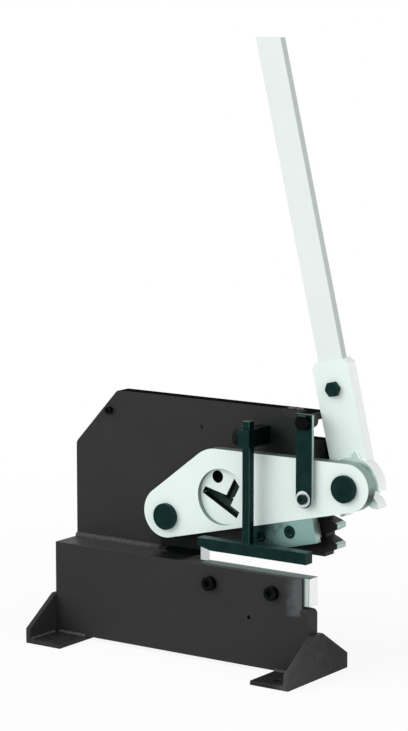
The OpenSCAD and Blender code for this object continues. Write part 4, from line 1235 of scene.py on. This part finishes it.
@dataclass
class Studio:
    """Pale floor, white surround and soft light."""

    surround: float = 0.25
    key: float = 2.4
    key_way: Triple = (-0.53, -0.66, 0.53)
    key_width: float = 60.0
    fill: float = 2.1
    fill_way: Triple = (0.92, -0.3, 0.25)
    fill_width: float = 80.0
    near: float = 0.5
    far: float = 1.5
    white_share: float = 0.9
    floor_size: float = 60.0
    floor_grey: float = 0.93
    floor_rough: float = 0.9

    def build(self) -> None:
        """Makes the floor, the world and the lamps."""
        self._floor()
        self._world()
        self._lamp("key_lamp", self.key_way, self.key, self.key_width)
        self._lamp("fill_lamp", self.fill_way, self.fill, self.fill_width)

    def _seen(self, tree: NodeTree) -> NodeSocket:
        """Adds nodes that are one for what the camera, a reflection or a clear piece shows.

        Args:
            tree: Node tree to add them to.

        Returns:
            The value.
        """
        path = tree.nodes.new("ShaderNodeLightPath")
        value = path.outputs["Is Camera Ray"]
        for name in ("Is Glossy Ray", "Is Transmission Ray"):
            value = add_node(tree, "Math", {0: value, 1: path.outputs[name]}, operation="MAXIMUM").outputs[0]
        return value

    def _floor(self) -> None:
        """Lays the floor, which fades to plain white away from the shear and keeps its shadow."""
        bpy.ops.mesh.primitive_plane_add(size=self.floor_size)
        floor = bpy.context.object
        floor.name = "pale_floor"
        board = NodeBoard("pale_floor")
        grey = (self.floor_grey, self.floor_grey, self.floor_grey, 1)
        board.set(Base_Color=grey, Roughness=self.floor_rough, Specular_IOR_Level=0.0)
        tree = board.tree
        away = add_node(tree, "VectorMath", {0: board.place}, operation="LENGTH").outputs["Value"]
        fade = board.spread(away, self.white_share, 1.0, (self.near, self.far))
        fade.node.interpolation_type = "SMOOTHSTEP"
        share = add_node(tree, "Math", {0: fade, 1: self._seen(tree)}, operation="MULTIPLY").outputs[0]
        white = add_node(tree, "Emission", {}).outputs[0]
        both = add_node(tree, "MixShader", {"Fac": share, 1: board.shader.outputs[0], 2: white})
        tree.links.new(both.outputs[0], tree.nodes["Material Output"].inputs["Surface"])
        floor.data.materials.append(board.material)

    def _world(self) -> None:
        """Makes the surround white to the camera and in reflections, and softer as a light."""
        world = bpy.data.worlds.new("studio")
        bpy.context.scene.world = world
        world.use_nodes = True
        tree = world.node_tree
        background = tree.nodes["Background"]
        background.inputs["Color"].default_value = (1, 1, 1, 1)
        sockets = {"Value": self._seen(tree), "To Min": self.surround, "To Max": 1.0}
        strength = add_node(tree, "MapRange", sockets)
        tree.links.new(strength.outputs["Result"], background.inputs["Strength"])

    def _lamp(self, name: str, way: Triple, power: float, width: float) -> None:
        """Hangs one distant soft lamp.

        Args:
            name: Name of the lamp.
            way: Direction from the shear to the lamp.
            power: Strength of its light.
            width: Angle that the lamp covers, in degrees.
        """
        data = bpy.data.lights.new(name, "SUN")
        data.energy = power
        data.angle = math.radians(width)
        lamp = bpy.data.objects.new(name, data)
        bpy.context.scene.collection.objects.link(lamp)
        lamp.location = way
        lamp.rotation_mode = "QUATERNION"
        lamp.rotation_quaternion = (-Vector(way)).to_track_quat("-Z", "Y")


@dataclass
class PhotoCamera:
    """Camera at the photograph's viewing angle."""

    place: Triple = (1.917985, -2.695607, 0.888520)
    azimuth: float = 34.94965
    elevation: float = 8.33571
    lens: float = 121.316
    sensor: float = 36.0
    sight: float = 200.0

    def build(self) -> None:
        """Makes the camera and hands it to the scene."""
        data = bpy.data.cameras.new("photo_camera")
        data.lens = self.lens
        data.sensor_width = self.sensor
        data.sensor_fit = "AUTO"
        data.clip_end = self.sight
        camera = bpy.data.objects.new("photo_camera", data)
        bpy.context.scene.collection.objects.link(camera)
        camera.location = self.place
        camera.rotation_euler = (math.radians(90 - self.elevation), 0, math.radians(self.azimuth))
        bpy.context.scene.camera = camera


def main() -> None:
    """Builds camera, studio and all pieces in order."""
    logging.basicConfig(level=logging.INFO)
    bpy.context.scene.view_settings.view_transform = "Standard"
    PhotoCamera().build()
    Studio().build()
    for part in (FramePieces(), JawPieces(), LeverPieces(), HoldDownPieces()):
        pieces = part.build()
        log.info("%s: %d pieces", type(part).__name__, len(pieces))


if __name__ == "__main__":
    main()
